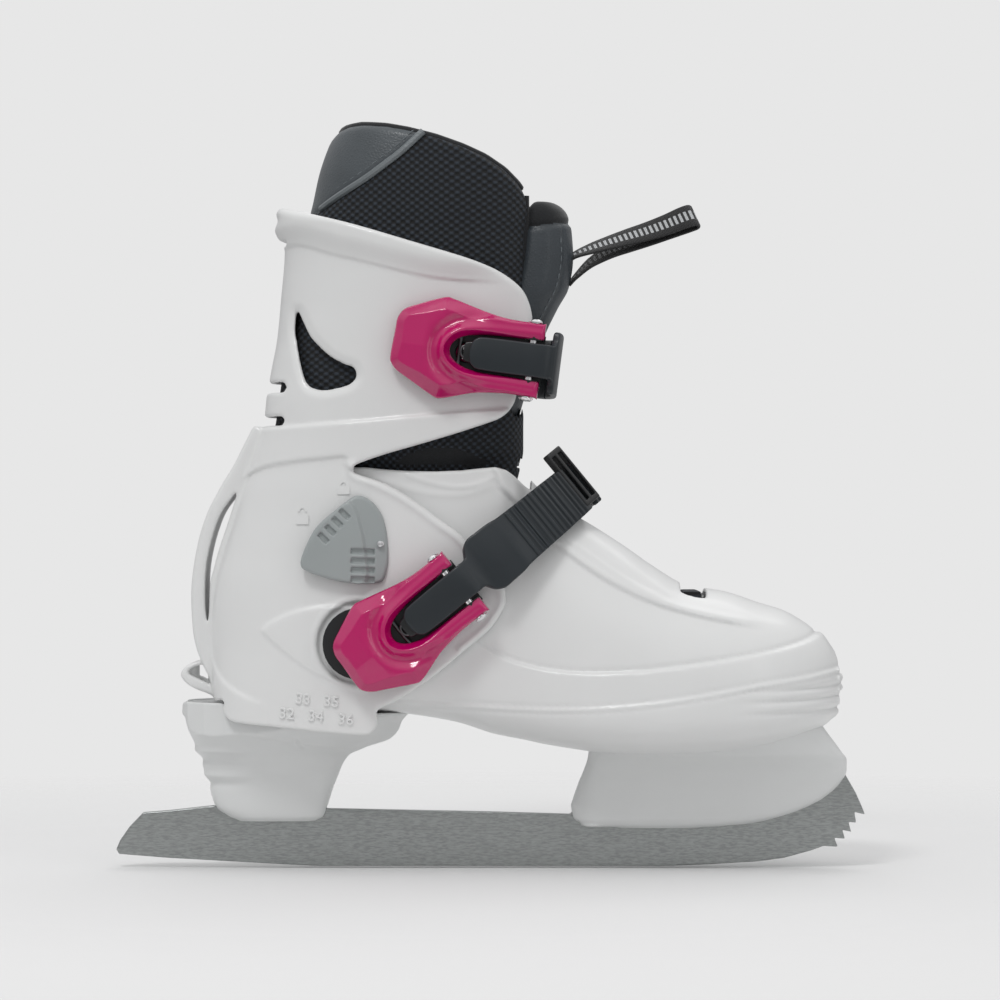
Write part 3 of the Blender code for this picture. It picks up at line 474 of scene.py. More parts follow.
PIPING = knit("piping", srgb(20, 22, 25))
THREAD = knit("thread", srgb(98, 104, 108), 3000)
EDGE_TAPE = leather("edge_tape", srgb(112, 118, 121))
FOAM = knit("insole_foam", srgb(90, 92, 96), 900)


# ---------------------------------------------------------------- rear shell
REAR = [
    (50, -101, 60, 35, 4.4), (60, -101.8, 60, 35.2, 4.2), (70, -103, 60, 35.4, 3.8),
    (82, -103.9, 60, 35.6, 3.4), (94, -104.4, 60, 35.8, 3.2), (106, -103.3, 58, 35.8, 3.1),
    (119, -100, 56, 35.8, 3), (130, -96.4, 54, 35.8, 3), (141, -92.6, 50, 36, 3),
    (152, -88.4, 44, 36.3, 2.9), (165, -84.6, 38, 37, 2.8), (175, -83.6, 35, 37.6, 2.7),
    (185, -81.9, 33.5, 38.2, 2.6), (198, -79.5, 32.5, 39, 2.6), (212, -78.2, 32, 39.8, 2.5),
    (229, -76.8, 32, 40.4, 2.5), (240, -76.6, 32, 40.6, 2.5), (252, -76.6, 32, 40.6, 2.5),
]
REAR_SIDE = [
    (-116, 63.8), (-99.5, 63.8), (-98.6, 60), (-97, 57), (-94, 55.6), (-88, 54.9), (-78, 54),
    (-68, 52.9), (-58, 51.9), (-50, 51.3), (-45, 51.2), (-43.3, 52), (-41.6, 54), (-40.9, 56.7),
    (-41.2, 60.2), (-35, 63.4), (-28, 67.6), (-19, 73.9), (-9.5, 82), (0, 90), (5.4, 98.4),
    (5.8, 102.2), (5, 106), (-1, 113), (-10.5, 124.4), (-17.8, 129.8), (-25, 135.2),
    (-32, 139.9), (-39.4, 143.8), (-49, 147), (-49.6, 148.9), (-48.6, 150.4), (-39, 153.8),
    (-29, 156.7), (-19, 159.6), (-9.6, 162.5), (0, 165.7), (4, 167.4), (6.9, 169.8),
    (8.9, 172.8), (9.8, 176), (12.6, 189), (15.4, 202), (15.5, 205), (14.7, 208.8), (12.8, 213.2),
    (9.8, 216.6), (5, 220), (0, 222.5), (-9.6, 225.9), (-29.1, 231.7), (-48.6, 237.6),
    (-64.2, 241.9), (-74.4, 245), (-78, 246.2), (-80.3, 245.6), (-82, 243.6), (-82.8, 240), (-116, 236),
]
CUFF_WINDOW = [
    (-71, 206.8), (-71.8, 200), (-71, 195.1), (-70, 189.3), (-68.5, 183.4), (-67.1, 180.2),
    (-64.6, 178.3), (-60.3, 177.6), (-55.4, 178.4), (-51.5, 179.6), (-49.3, 181.5),
    (-48.8, 183.4), (-50, 185.9), (-53, 186.9), (-58.3, 189.8), (-62.7, 193.7), (-66.1, 197.6),
    (-68.5, 202.4),
]
STRUT = [
    (-86, 166), (-90, 160.7), (-95, 150.7), (-99, 144.2), (-102, 138.7), (-105, 132.7),
    (-108, 123.7), (-110, 113.7), (-111, 104.7), (-111, 97.7), (-110.5, 89.7), (-109.5, 83.7),
    (-107.5, 77.7), (-105, 72.7), (-101.5, 67.5), (-97, 67.5), (-98, 82), (-98, 95),
    (-98, 106), (-94, 119), (-90, 131), (-87, 141), (-82, 152),
]
STRUT_OPENING = [
    (-94.2, 139.6), (-97, 136.7), (-100, 132.2), (-102.2, 126.7), (-104.2, 119.7),
    (-105.6, 111.7), (-105.9, 103), (-105.7, 96), (-105, 92.2), (-104.4, 96), (-104, 106),
    (-102.6, 112), (-100.7, 119), (-97, 130),
]
BAND = [   # raised band that runs from the cuff down into the back strut
    (-120, 141), (-101, 138), (-97, 140.4), (-93.5, 143.2), (-90, 146.4), (-86, 148.6), (-80, 150.3), (-70, 151.8),
    (-60, 152.8), (-52, 153.2), (-46, 148), (20, 150), (30, 171), (10, 170.6), (-10, 169.2),
    (-30, 167.6), (-45, 166.2), (-60, 165.2), (-83, 163.7), (-120, 163.7),
]
LIP = [    # rolled collar above the under-lip crease
    (-90, 233), (-71, 231.2), (-58, 227.2), (-50, 225.2), (-40, 222.7), (-30, 220.2), (-20, 218.2),
    (-10, 217.2), (0, 216.8), (8, 216), (20, 214), (24, 260), (-90, 262),
]
BOSS = [   # almond-shaped boss behind the lower buckle's disc
    (-83.6, 89.5), (-80, 92.6), (-75, 95.2), (-69, 97.2), (-60, 98.6), (-48, 98.2), (-34, 96),
    (-34, 74), (-46, 70), (-54, 70.4), (-62, 72.8), (-70, 77.6), (-77, 83), (-81.5, 87),
]
FRONT_EDGE = [(-49.4, 148.6), (-48.6, 146.8), (-39.4, 143.4), (-32, 139.5), (-25, 134.8), (-17.8, 129.4),
              (-10.5, 124), (-1, 112.6), (5, 105.6), (5.8, 102.2), (5.4, 98.4), (0, 90), (-9.5, 82)]
HEEL_SKIRT = [(-106, 84), (-104, 83.4), (-102.6, 78), (-100.6, 73.6), (-97, 69.6), (-91, 65.8), (-84, 63.2),
              (-76, 62), (-76, 40), (-120, 40)]
DISC = (-47.9, 84.9, 13.0)


def shell_side(x, z):
    """Outer half width of the rear shell at x, z, with no relief."""
    back, front, half, n = steps(REAR, z)
    u = np.clip(np.abs((x - (front + back) / 2) / ((front - back) / 2)), 0, 1)
    return half * (1 - u ** n) ** (1 / n)


def rear_relief(x, z):
    """How far the moulded relief stands out from the plain shell, in mm, on arrays of x and z."""
    h = 1.25 * ramp(0.9, -0.5, outline(BAND, x, z, 4)) * ramp(30, 0, x)
    lip = outline(LIP, x, z, 4)
    h = h + (1.0 * ramp(0.5, -0.7, lip) + 3.0 * ramp(0, -8, lip)) * ramp(9, -12, x)
    h = h + 0.9 * ramp(0.9, -0.9, outline(BOSS, x, z, 4)) * ramp(-36, -46, x)
    reach = np.hypot(x - DISC[0], z - DISC[1])
    h = h - 1.4 * ramp(DISC[2] + 2.6, DISC[2] + 1.2, reach) + 0.5 * bump(reach - DISC[2] - 3.4, 1.1)
    h = h + 0.8 * bump(line(FRONT_EDGE, x, z, 3) - 1.6, 1.2)
    h = h + 0.75 * ramp(0.9, -0.9, outline(HEEL_SKIRT, x, z, 4)) * ramp(-80, -92, x)
    h = h - 0.9 * ramp(3.4, 0, outline(CUFF_WINDOW, x, z, 4))
    return h.astype(F4)


FLANGE = [(-115, 6), (-112.5, 12.5), (-106, 18.6), (-98, 22.6), (-88, 26), (-75, 28.2), (-60, 29.2), (60, 29.2)]


def flange(x, y, grow):
    """Plan of the sole plate, wider all round by grow."""
    return outline([(px, w + grow) for px, w in FLANGE] + [(px, -w - grow) for px, w in FLANGE[::-1]], x, y, 1)


def build_rear_shell():
    low, high = (-117, -46, 49), (18, 46, 250)
    x, y, z, step = grid(low, high, 0.75)
    back, front, half, n = steps(REAR, z)
    d = column(x, y, back, front, half, n, step)
    side = outline(REAR_SIDE, x, z, 3)
    outer = d - rear_relief(x, z)
    hollow = np.maximum(d + WALL, 66.2 - z)
    rounding = 1.1 + 2.2 * ramp(222, 240, z) * ramp(-56, -74, x) + 0.5 * ramp(200, 215, z)
    body = less(both(outer, side, rounding), hollow, 0.6)
    # the strut over the tendon, faired into the shell
    strut = both(outline(STRUT, x, z, 4), np.abs(y) - 13.5, 1.6)
    body = either(body, less(strut, np.maximum(d + 2.6, 66.0 - z), 0.3), 1.6)
    body = less(body, both(outline(STRUT_OPENING, x, z, 4), np.abs(y) - 45), 0.9)
    # window and slots
    body = less(body, outline(CUFF_WINDOW, x, z, 4), 1.0)
    for z0, z1, reach in ((164.8, 168.2, -75.4), (177.0, 180.9, -74.8)):
        slit = outline([(-95, z0), (reach - 1.2, z0), (reach, (z0 + z1) / 2), (reach - 1.2, z1), (-95, z1)], x, z, 1)
        body = less(body, both(slit, np.abs(y) - 25, 0.5), 0.9)
    nick = outline([(-79, 231.4), (-76, 231.6), (-75.3, 232.8), (-76, 234), (-79, 234.4)], x, z, 2)
    body = less(body, np.maximum(nick, np.abs(y) - 22), 0.5)
    # channel for the sole plate, and room for the toe shell's side walls
    body = less(body, np.maximum(flange(x, y, 0.6), z - 63.2), 0.3)
    body = less(body, box_field(x, y, z, (-40.5, -31.7, 30), (71, 31.7, 70)), 0.3)
    body = less(body, box_field(x, y, z, (-62.5, -31.8, 62.4), (70, 31.8, 160)), 0.3)
    # loop at the heel
    ring = outline([(-101, 64.8), (-106, 65.6), (-111, 67.6), (-114, 70), (-115.2, 72.6), (-113, 75.6),
                    (-108, 77.4), (-101, 78.2)], x, z, 4)
    loop = both(ring, np.abs(y) - 11, 1.5)
    loop = less(loop, both(outline([(-109.2, 60), (-105.2, 60), (-105.2, 90), (-109.2, 90)], x, z, 1),
                           np.abs(y) - 7.8), 1.0)
    recess = outline([(-101, 77), (-107, 76.2), (-111.4, 74.4), (-112, 72.6), (-108, 70.6), (-101, 68.4)], x, z, 3)
    loop = less(loop, both(recess, 6.5 - np.abs(y)), 1.2)
    body = either(body, loop, 0.8)
    # hole for the knob's axle
    body = less(body, np.maximum(np.hypot(x + 48.4, z - 122.2) - 3.2, y), 0.2)
    meshed("rear_shell_moulding", body, low, step, [WHITE], "boot", ["rear_shell"])


# ---------------------------------------------------------------- toe shell
TOE = [    # x, sole height, crest height, half width, centre shift, height of the widest line
    (-102, 58.7, 420, 31.2, 0, 80), (-60, 58.7, 420, 31.2, 0, 78.4), (-38, 58.7, 420, 31.2, 0, 77.5),
    (-26, 57.5, 400, 31.2, 0, 77), (-10, 54.6, 320, 31.4, 0, 76.4), (0, 52.2, 230, 32, 0, 76),
    (8, 50.6, 166, 33, 0, 74.4), (13, 49.7, 146.6, 34, 0, 73.4), (20, 48.2, 138.6, 35.4, 0, 72),
    (29, 46.7, 132.1, 37.2, 0, 70.2), (40, 45.2, 125.4, 39.6, 0.4, 68), (50, 44.6, 118.9, 41.6, 1, 67.6),
    (60, 44.4, 111.9, 43.2, 1.8, 67.2), (72, 44.6, 105, 44.2, 2.8, 66.7), (80, 45, 103.2, 44.2, 3.6, 66.4),
    (90, 45.7, 101.6, 43.4, 4.4, 66), (100, 47, 99, 41.4, 5.2, 66), (110, 49.2, 96, 37.4, 6.2, 66),
    (118, 51.4, 91.6, 31.8, 7, 66.4), (124, 54.2, 86.4, 24.8, 7.6, 67), (128, 58, 80, 17, 8, 68),
    (130.4, 63.5, 73.4, 9, 8.2, 68.6), (131.2, 67.2, 70.2, 2.5, 8.2, 68.8),
]
THROAT = [
    (-140, 62.2), (-62, 62.2), (-60.5, 149.6), (-45, 149.3), (-38, 148.5), (-30, 148), (-20, 147.8),
    (-10, 148.2), (-3, 149), (2, 149.4), (6, 148.4), (9, 146.2), (13, 142.4), (15, 141), (15, 460), (-140, 460),
]
BUMPER = [
    (-30, 92), (-9, 88.4), (-4, 84.8), (0, 82.2), (5, 79.6), (10, 77.7), (20, 75.3), (30, 74.2), (40, 74),
    (50, 74.4), (60, 75.1), (80, 77.6), (100, 80.9), (110, 83), (118, 85.2), (125, 88), (140, 92),
    (140, 30), (-30, 30),
]
LOWER_BEAD = [(-40, 62.6), (-20, 61.8), (-4, 61.2), (14, 60.5), (30, 60.5), (45, 61.3), (60, 62.8), (75, 65),
              (90, 67.6), (100, 69.4), (115, 71.4), (124, 72.9), (134, 74.6)]
CREST = [
    (-4, 160), (1, 148.6), (4, 142), (8, 137.6), (14, 130.8), (21, 123.6), (30, 116.3), (40, 109.4),
    (50, 103.8), (60, 99.4), (70, 96.2), (80, 93.8), (90, 91.8), (99, 90.4), (112, 89.6), (140, 89),
    (140, 200), (-4, 200),
]
CREST_LINE = [(22, 129.6), (27, 124.6), (35, 118.3), (43, 112.6), (50, 108), (58, 103.6), (66, 100.6)]
CHEEK = [(-30, 146.4), (-20, 143.2), (-12, 142), (-5, 142.8), (1, 145.4)]
CHEEK_2 = [(-42, 146), (-30, 141.4), (-18, 139.2), (-8, 139.6), (0, 142.6)]


def toe_relief(x, z):
    """How far the toe shell's moulded relief stands out, in mm."""
    bumper = outline(BUMPER, x, z, 3)
    h = 1.2 * ramp(0.7, -0.5, bumper) * ramp(-14, 4, x)
    h = h - 0.45 * bump(bumper - 0.9, 0.8) * ramp(-14, 4, x)
    low_line = line(LOWER_BEAD, x, z, 3)
    bead_z = np.interp(x, *zip(*LOWER_BEAD))
    h = h + 0.65 * bump(low_line, 0.8) + 0.5 * ramp(bead_z, bead_z - 2.2, z)
    h = h - 0.25 * bump(low_line - 1.5, 0.6)
    crest = outline(CREST, x, z, 3)
    h = h + (1.2 * ramp(0.8, -0.8, crest) + 0.6 * bump(crest + 1.8, 1.2)) * ramp(104, 84, x)
    h = h + 0.5 * ramp(0.7, -0.7, line(CREST_LINE, x, z, 3) - 0.9) * ramp(66, 56, x)
    h = h + 0.5 * bump(line(CHEEK, x, z, 3), 1.0) + 0.35 * bump(line(CHEEK_2, x, z, 3), 1.3)
    for level in (69.2, 65.2, 60.8):
        rise = 0.0011 * (x - 60) ** 2 * 0.35
        h = h - 1.0 * bump(z - level - rise + 2.6, 0.9) * ramp(86, 114, x)
    return np.asarray(h, F4)


def toe_distance(x, y, z, step):
    bottom, top, half, shift, level = steps(TOE, x)
    up = z >= level
    v = np.abs(z - level) / np.where(up, top - level, level - bottom)
    u = np.abs(y - shift) / half
    fu = (u ** 2.3 + v ** 2.3) ** (1 / 2.3)
    fd = (u ** 3.4 + v ** 3.4) ** (1 / 3.4)
    w = ramp(-5, 5, z - level)
    f = (fd * (1 - w) + fu * w - 1).astype(F4)
    f = f * np.minimum(half, 40)
    d = distance_like(f, step)
    return np.where(x > 131.2, np.maximum(d, x - 131.2), d)


def build_toe_shell():
    low, high = (-118, -49, 41), (134, 52, 152)
    x, y, z, step = grid(low, high, 0.75)
    d = toe_distance(x, y, z, step)
    outer = d - toe_relief(x, z)
    body = less(outer, np.maximum(d + WALL, x - 127), 0.5)
    body = less(body, outline(THROAT, x, z, 1), 1.0)
    plate = flange(x, y, -3.2)
    rear = np.maximum(np.maximum(z - 61.7, 58.7 - z), x + 60)
    body = either(np.maximum(body, -60 - x), both(rear, plate, 0.5))
    # slot for the cam in the side wall, vent at the foot of the instep
    body = less(body, box_field(x, y, z, (-70, -45, 113.6), (-37.2, -20, 130.8)))
    vent = both(outline([(70.4, 101.6), (71.6, 110), (80.2, 110), (80.6, 102.4), (79.4, 100.2), (75, 99.6)],
                        x, z, 1), np.abs(y - 3) - 22, 2.0)
    body = less(body, vent, 0.5)
    points, quads = field_points(body, low, step)
    mesh = quad_mesh("toe_shell_moulding", points, quads)
    link("toe_shell_moulding", mesh, [WHITE, BLACK], "base", ["toe_shell"])
    # the vent's inner walls, 1.4 to 3.2 mm under the outer face, take the near-black material: painted shade inside
    # the hole
    centre = points[quads].mean(1)
    cell = tuple(np.clip(np.rint((centre[:, k] - low[k]) / step).astype(int), 0, outer.shape[k] - 1)
                 for k in range(3))
    vent_painted_shade = (vent[cell] < 0.6) & (outer[cell] < -1.4) & (outer[cell] > -3.2)
    mesh.polygons.foreach_set("material_index", vent_painted_shade.astype(np.int32))


# ---------------------------------------------------------------- blade holders
REAR_HOLDER = [
    (17.2, -94, -65, 6), (19, -98, -62, 8), (23, -103, -60.8, 9), (30, -105, -58.6, 10),
    (35, -106, -56.6, 11), (38, -107.6, -55.4, 12.5), (42, -108.4, -52.5, 14.5),
    (45, -109.8, -46, 17.5), (48, -111.2, -37.5, 21), (51, -112.6, -34.4, 24.5),
    (54.5, -113.6, -33, 27), (58.4, -114.2, -30, 28), (64, -113.6, -29, 28.2),
]
FRONT_HOLDER = [
    (14.6, 48, 78, 5), (16, 36, 96, 7), (18.5, 30.9, 108, 8.5), (22, 30.3, 118, 9),
    (26, 31.5, 125.5, 9.5), (31, 33.4, 131, 10.5), (36, 35.8, 133.6, 13), (40, 37.3, 133.6, 17),
    (43.2, 37.8, 131.5, 21), (53.5, 38.2, 124, 26), (60, 38.2, 120, 27),
]
BLADE_CUT = [
    (-150, -5), (-150, 26), (-99, 26), (-97, 30.6), (-65, 30.6), (-62.5, 23), (-60, 22.2),
    (29, 20.2), (37.5, 28.6), (110, 30.6), (125.8, 35.3), (150, 35.3), (150, -5),
]
BLADE = [
    (-139, 4.7), (-140, 6.5), (-138.5, 10), (-135, 15), (-130, 20.2), (-120, 21), (-102, 23),
    (-98, 23), (-96, 30), (-66, 30), (-64, 22), (-60, 21.7), (0, 20.5), (30, 19.6), (38, 28),
    (110, 30), (126, 34.7), (133, 34.7), (135, 31.2), (137, 27.7), (139, 23.2), (140.5, 19.5),
    (136.5, 20.4), (137.2, 16.4), (134.3, 16.7), (135.3, 13), (132, 13.7), (133, 10.4),
    (129, 10.7), (130.3, 7.4), (125, 7.7), (120, 5.9), (110, 3.2), (100, 1.9), (80, 0.7), (60, 0),
    (-60, 0), (-80, 1), (-120, 3.2),
]


def build_blade():
    low, high = (-142, -2.6, -1.2), (142.5, 2.6, 36.2)
    x, y, z, step = grid(low, high, 0.42)
    d = both(outline(BLADE, x, z, 1), np.abs(y) - 1.9, 0.35)
    # hollow ground along the running edge
    d = less(d, np.hypot(y, z + 11.6) - 11.95)
    meshed("blade_ground", d, low, step, [BLADE_STEEL], "base", ["blade"])


def build_holders():
    for name, table, low, high in (
            ("rear_holder", REAR_HOLDER, (-118, -31, 14), (-24, 31, 65)),
            ("front_holder", FRONT_HOLDER, (27, -30, 12), (137, 30, 56))):
        x, y, z, step = grid(low, high, 0.6)
        back, front, half = steps(table, z)
        d = np.maximum(column(x, y, back, front, half, 3.0, step), table[0][0] - z)
        if name == "rear_holder":
            fade = ramp(-84, -96, x)
            for level in (43.6, 34.6):
                d = d - 1.1 * bump(z - level, 1.7) * fade
                d = d + 0.6 * bump(z - level + 3.2, 1.4) * fade
            shoulder = [(-120, 58), (-113, 57), (-100, 53.7), (-90, 50.7), (-80, 48.2), (-70, 46.7), (-60, 45.2),
                        (-50, 43.5), (-20, 41), (-20, 80), (-120, 80)]
            d = d - 0.9 * ramp(0.8, -0.8, outline(shoulder, x, z, 3)) * ramp(-46, -60, x)
            arrow = outline([(-74, 45.4), (-69.4, 45.0), (-71.6, 49.2)], x, z, 1)
            d = d - 0.5 * ramp(0.5, -0.3, arrow)
            d = both(d, z - 62.2 + 3.2 * ramp(-100, -88, x), 1.4)
            d = np.maximum(d, flange(x, y, -0.7))
            d = less(d, np.maximum(flange(x, y, -3.0), 58.6 - z), 0.2)
        else:
            d = d - 0.8 * bump((x - 38) * 0.6, 3.0)
            d = less(d, toe_distance(x, y, z, step) + 0.3)
        d = less(d, np.maximum(outline(BLADE_CUT, x, z, 1), np.abs(y) - 2.2), 0.3)
        meshed(name + "_moulding", d, low, step, [HOLDER], "base", [name])


# ---------------------------------------------------------------- liner, tongue, pull loop
LEG = [
    (80, -99.6, 0, 27), (94, -100.4, 0, 27.4), (110, -98, 4, 27.4), (125, -93.4, 6, 27.3),
    (140, -88.4, 9, 27.1), (150, -84.4, 11.5, 27.1), (156, -82.6, 12.5, 29.2), (165, -80.4, 12.5, 31.4),
    (180, -78.2, 13.5, 33.2), (200, -75, 15.5, 34.6), (229, -72.4, 16, 36), (244, -66.8, 16.6, 35.6),
    (262, -62, 16.5, 34.6), (270, -59.4, 16, 34), (280, -55, 15, 33),
]
FOOT = [
    (-98, 78, 96, 8), (-95, 70, 104, 18), (-88, 67, 118, 25), (-75, 66.5, 130, 27.4),
    (-60, 66.5, 140, 27.4), (-40, 66, 146, 27.4), (-25, 63, 148, 27.4), (-10, 60.6, 150, 27.6),
    (2, 58.8, 146, 27.4), (12, 56.6, 137, 27.8), (22, 55, 130, 29.2), (35, 52.2, 121.6, 32),
    (50, 49.8, 111.6, 35.6), (65, 48.6, 102.6, 38.2), (80, 48.6, 97.1, 39), (92, 49.4, 95, 37.8),
    (102, 51, 92.2, 34.2), (109, 54, 87.6, 26.6), (113, 60, 79.6, 13.6),
]
COLLAR_TOP = [(-75, 259.6), (-66, 265.6), (-60, 272.2), (-56, 274.4), (-52, 275.4), (-47, 275.6), (-38, 274.6),
              (-30, 273), (-20, 270.4), (-10, 266.9), (-2, 263.4), (5, 259), (10, 254.4), (14, 249.2), (17, 243)]
PATCH_SEAM = [(-70, 240.5), (-62, 244.4), (-58, 247), (-52, 250.6), (-45, 254.8), (-38, 259.8), (-32, 264.4),
              (-24, 271.8), (-21.5, 274.6)]
TONGUE = [
    (150, 1, 11, 10), (158, 0, 10.6, 13), (165, 0.5, 10.6, 15), (176, 2, 13, 17),
    (188, 4, 16.5, 18), (200, 6, 21, 18.5), (209, 8, 25.4, 19), (217, 10, 29.6, 19),
    (228, 12.4, 31.2, 19), (238, 13.8, 30.6, 18.6), (248.4, 15, 27.5, 17.4),
]


def collar_height(x):
    return np.interp(x, *zip(*COLLAR_TOP))


def leg_point(angle, z, inset=0.0):
    """World point (mm) on the liner's leg, inset from its outside."""
    back, front, half = (float(v) for v in steps(LEG, z))
    c, s = math.cos(angle), math.sin(angle)
    a, b = (front - back) / 2 - inset, half - inset
    k = (abs(c) ** 2.4 + abs(s) ** 2.4) ** (-1 / 2.4)
    return (front + back) / 2 + a * c * k, b * s * k, z


def collar_point(angle, inset, drop=0.0):
    z = 270.0
    for _ in range(25):
        x = leg_point(angle, z, inset)[0]
        z = 0.5 * z + 0.5 * float(collar_height(x))
    x, y, z = leg_point(angle, z - drop, inset)
    return x, y, z


def stitches(path, length, radius, gap=1.1):
    """Thread dashes along a path of world points."""
    far = [0.0]
    for a, b in zip(path, path[1:]):
        far.append(far[-1] + (b - a).length)

    def at(s):
        i = min(max(np.searchsorted(far, s) - 1, 0), len(path) - 2)
        t = (s - far[i]) / max(far[i + 1] - far[i], 1e-6)
        return path[i].lerp(path[i + 1], t)
    parts, s = [], 0.4
    while s + length < far[-1]:
        pts = [at(s + length * k / 4) for k in range(5)]
        parts.append(tube(pts, [radius * 0.5, radius, radius, radius, radius * 0.5], 6))
        s += length + gap
    return parts


def build_liner():
    low, high = (-104, -41, 46), (117, 44, 282)
    x, y, z, step = grid(low, high, 1.0)
    back, front, half = steps(LEG, z)
    leg = np.maximum(column(x, y, back, front, half, 2.4, step), 84 - z)
    bottom, top, wide = steps(FOOT, x)
    shift = np.maximum(x - 40, 0) * 0.085
    level = bottom + (top - bottom) * 0.42
    up = z >= level
    v = np.abs(z - level) / np.where(up, top - level, level - bottom)
    u = np.abs(y - shift) / wide
    f = np.where(up, (u ** 2.3 + v ** 2.3) ** (1 / 2.3), (u ** 4 + v ** 4) ** 0.25) - 1
    foot = distance_like((f * np.minimum(wide, 30)).astype(F4), step)
    foot = np.maximum(np.maximum(foot, x - 113), -98 - x)
    outer = either(leg, foot, 3.0)
    # padding swells between its seams above the hard shell
    puff = bump(z - 259, 15) * 1.0 + 0.5 * bump(z - 235, 8)
    outer = outer - puff * ramp(236, 246, z)
    seam = line(PATCH_SEAM, x, z, 4)
    outer = outer + 0.8 * bump(seam, 1.1)
    # the fabric shows through the vent at the foot of the instep
    outer = either(outer, box_field(x, y, z, (71.8, -14, 92), (78.6, 20, 103.4)), 1.5)
    inner = either(leg + 5.0, foot + 5.0, 3.0)
    body = less(outer, inner, 2.2)
    cap = z - collar_height(x)
    body = both(body, cap.astype(F4), 2.4)
    tb, tf, th = steps(TONGUE, z)
    tu, tv = np.abs((x - (tf + tb) / 2) / ((tf - tb) / 2 + 0.4)), np.abs(y) / (th + 0.4)
    tongue = distance_like((((tu ** 2.3 + tv ** 2.3) ** (1 / 2.3) - 1) * 10).astype(F4), step)
    tongue = np.maximum(tongue, 149.5 - z)
    body = less(body, tongue, 0.8)
    body = less(body, box_field(x, y, z, (2, -17, 247), (60, 17, 300)), 1.5)
    points, quads = field_points(body, low, step)
    mesh = quad_mesh("liner_padding", points, quads)
    ang = np.arctan2(points[:, 1], points[:, 0] + 30.0)
    uv = mesh.uv_layers.new(name="UVMap")
    flat = np.stack([ang * 42.0, points[:, 2]], 1)
    idx = quads.ravel()
    corners = flat[idx].reshape(-1, 4, 2)
    wrap = corners[:, :, 0].max(1) - corners[:, :, 0].min(1) > 80
    corners[wrap, :, 0] = np.where(corners[wrap, :, 0] < 0, corners[wrap, :, 0] + 2 * math.pi * 42,
                                   corners[wrap, :, 0])
    uv.data.foreach_set("uv", corners.reshape(-1, 2).astype(F4).ravel())
    liner = link("liner_padding", mesh, [MESH, LEATHER, PIPING], "boot", ["liner"])
    centre = points[quads].mean(1)
    seam_z = np.interp(centre[:, 0], *zip(*PATCH_SEAM))
    patch = (centre[:, 2] > seam_z) & (centre[:, 0] < -21.5)
    inside = np.hypot((centre[:, 0] + 24) / 36.0, centre[:, 1] / 31.0) < 0.93
    ids = np.where(inside & (centre[:, 2] > 150), 2, np.where(patch, 1, 0))
    mesh.polygons.foreach_set("material_index", ids.astype(np.int32))
    # piping round the collar, and down the liner's front edges
    rim = [collar_point(t, 2.6, 0.4) for t in np.linspace(math.radians(28), math.radians(332), 120)]
    parts = [tube(rim, 1.7, 10)]
    for side in (-1, 1):
        edge = [leg_point(side * math.radians(27 - k * 0.1), h, 0.6) for k, h in enumerate(np.linspace(250, 196, 24))]
        parts.append(tube(edge, 1.5, 8))
    solid("liner_piping", parts, [PIPING], "boot")
    # edge tape and stitching along the leather patch, on both sides
    tape, thread = [], []
    for side in (-1, 1):
        for offset, width, store in ((0.6, 1.3, tape), (3.4, 0, thread)):
            path = []
            for px, pz in smooth_path(PATCH_SEAM[1:-1], False, 8):
                nx, nz = -0.62, 0.78
                qx, qz = px + nx * offset, pz + nz * offset
                b, f, h = (float(v) for v in steps(LEG, qz))
                k = max(0.0, 1 - abs((qx - (f + b) / 2) / ((f - b) / 2)) ** 2.4) ** (1 / 2.4)
                swell = float(bump(qz - 259, 15) + 0.5 * bump(qz - 235, 8)) * float(ramp(236, 246, qz))
                path.append(Vector((qx, side * (h * k + swell - (0.15 if width else 0.0)), qz)))
            if width:
                store.append(tube(path, width, 8))
            else:
                store += stitches(path, 2.4, 0.28)
    solid("patch_tape", tape, [EDGE_TAPE], "boot")
    solid("patch_stitching", thread, [THREAD], "boot")


def build_tongue():
    low, high = (-4, -22, 146), (34, 22, 251)
    x, y, z, step = grid(low, high, 0.7)
    back, front, half = steps(TONGUE, z)
    bow = 0.012 * y ** 2                       # the tongue wraps round the shin
    u = np.abs((x + bow - (front + back) / 2) / ((front - back) / 2))
    v = np.abs(y) / half
    d = distance_like((((u ** 2.6 + v ** 2.6) ** (1 / 2.6) - 1) * 9).astype(F4), step)
    d = both(d, z - 248.2, 4.5)
    d = np.maximum(d, 150 - z)
    stitch = line([(-8, 237.5), (16, 238.6), (27, 240.4), (40, 242)], x, z, 4)
    d = d + 0.9 * bump(stitch, 1.0)
    d = d + 0.6 * bump(np.abs(y) - 12.6, 0.9) * ramp(170, 190, z) * ramp(241, 236, z)
    points, quads = field_points(d, low, step)
    mesh = quad_mesh("tongue_padding", points, quads)
    tongue = link("tongue_padding", mesh, [TONGUE_LEATHER, PIPING], "boot", ["tongue"])
    centre = points[quads].mean(1)
    line_z = np.interp(centre[:, 0], (-8, 16, 27, 40), (237.5, 238.6, 240.4, 242))
    mesh.polygons.foreach_set("material_index", (centre[:, 2] > line_z).astype(np.int32))
    # seam down each side of the leather front
    thread = []
    for side in (-1, 1):
        path = []
        for h in np.linspace(176, 236, 26):
            b, f, w = (float(v) for v in steps(TONGUE, h))
            yy = 14.6 * side
            k = max(0.0, 1 - abs(yy / w) ** 2.6) ** (1 / 2.6)
            path.append(Vector(((f + b) / 2 + (f - b) / 2 * k - 0.012 * yy * yy + 0.1, yy, h)))
        thread += stitches(path, 2.2, 0.26)
    solid("tongue_stitching", thread, [THREAD], "boot")


PULL_LOOP = [
    (28.5, 226.5), (32, 229.2), (38, 231.6), (45, 233.9), (52, 235.9), (60, 238), (67, 240.2), (72, 242.2),
    (74.8, 243), (76.8, 243), (77.8, 241.9), (77.4, 240.7), (75.5, 240), (68, 237.8), (60, 235.2),
    (52, 232.6), (45, 230), (38, 226.2), (33, 221.8), (29.5, 218),
]


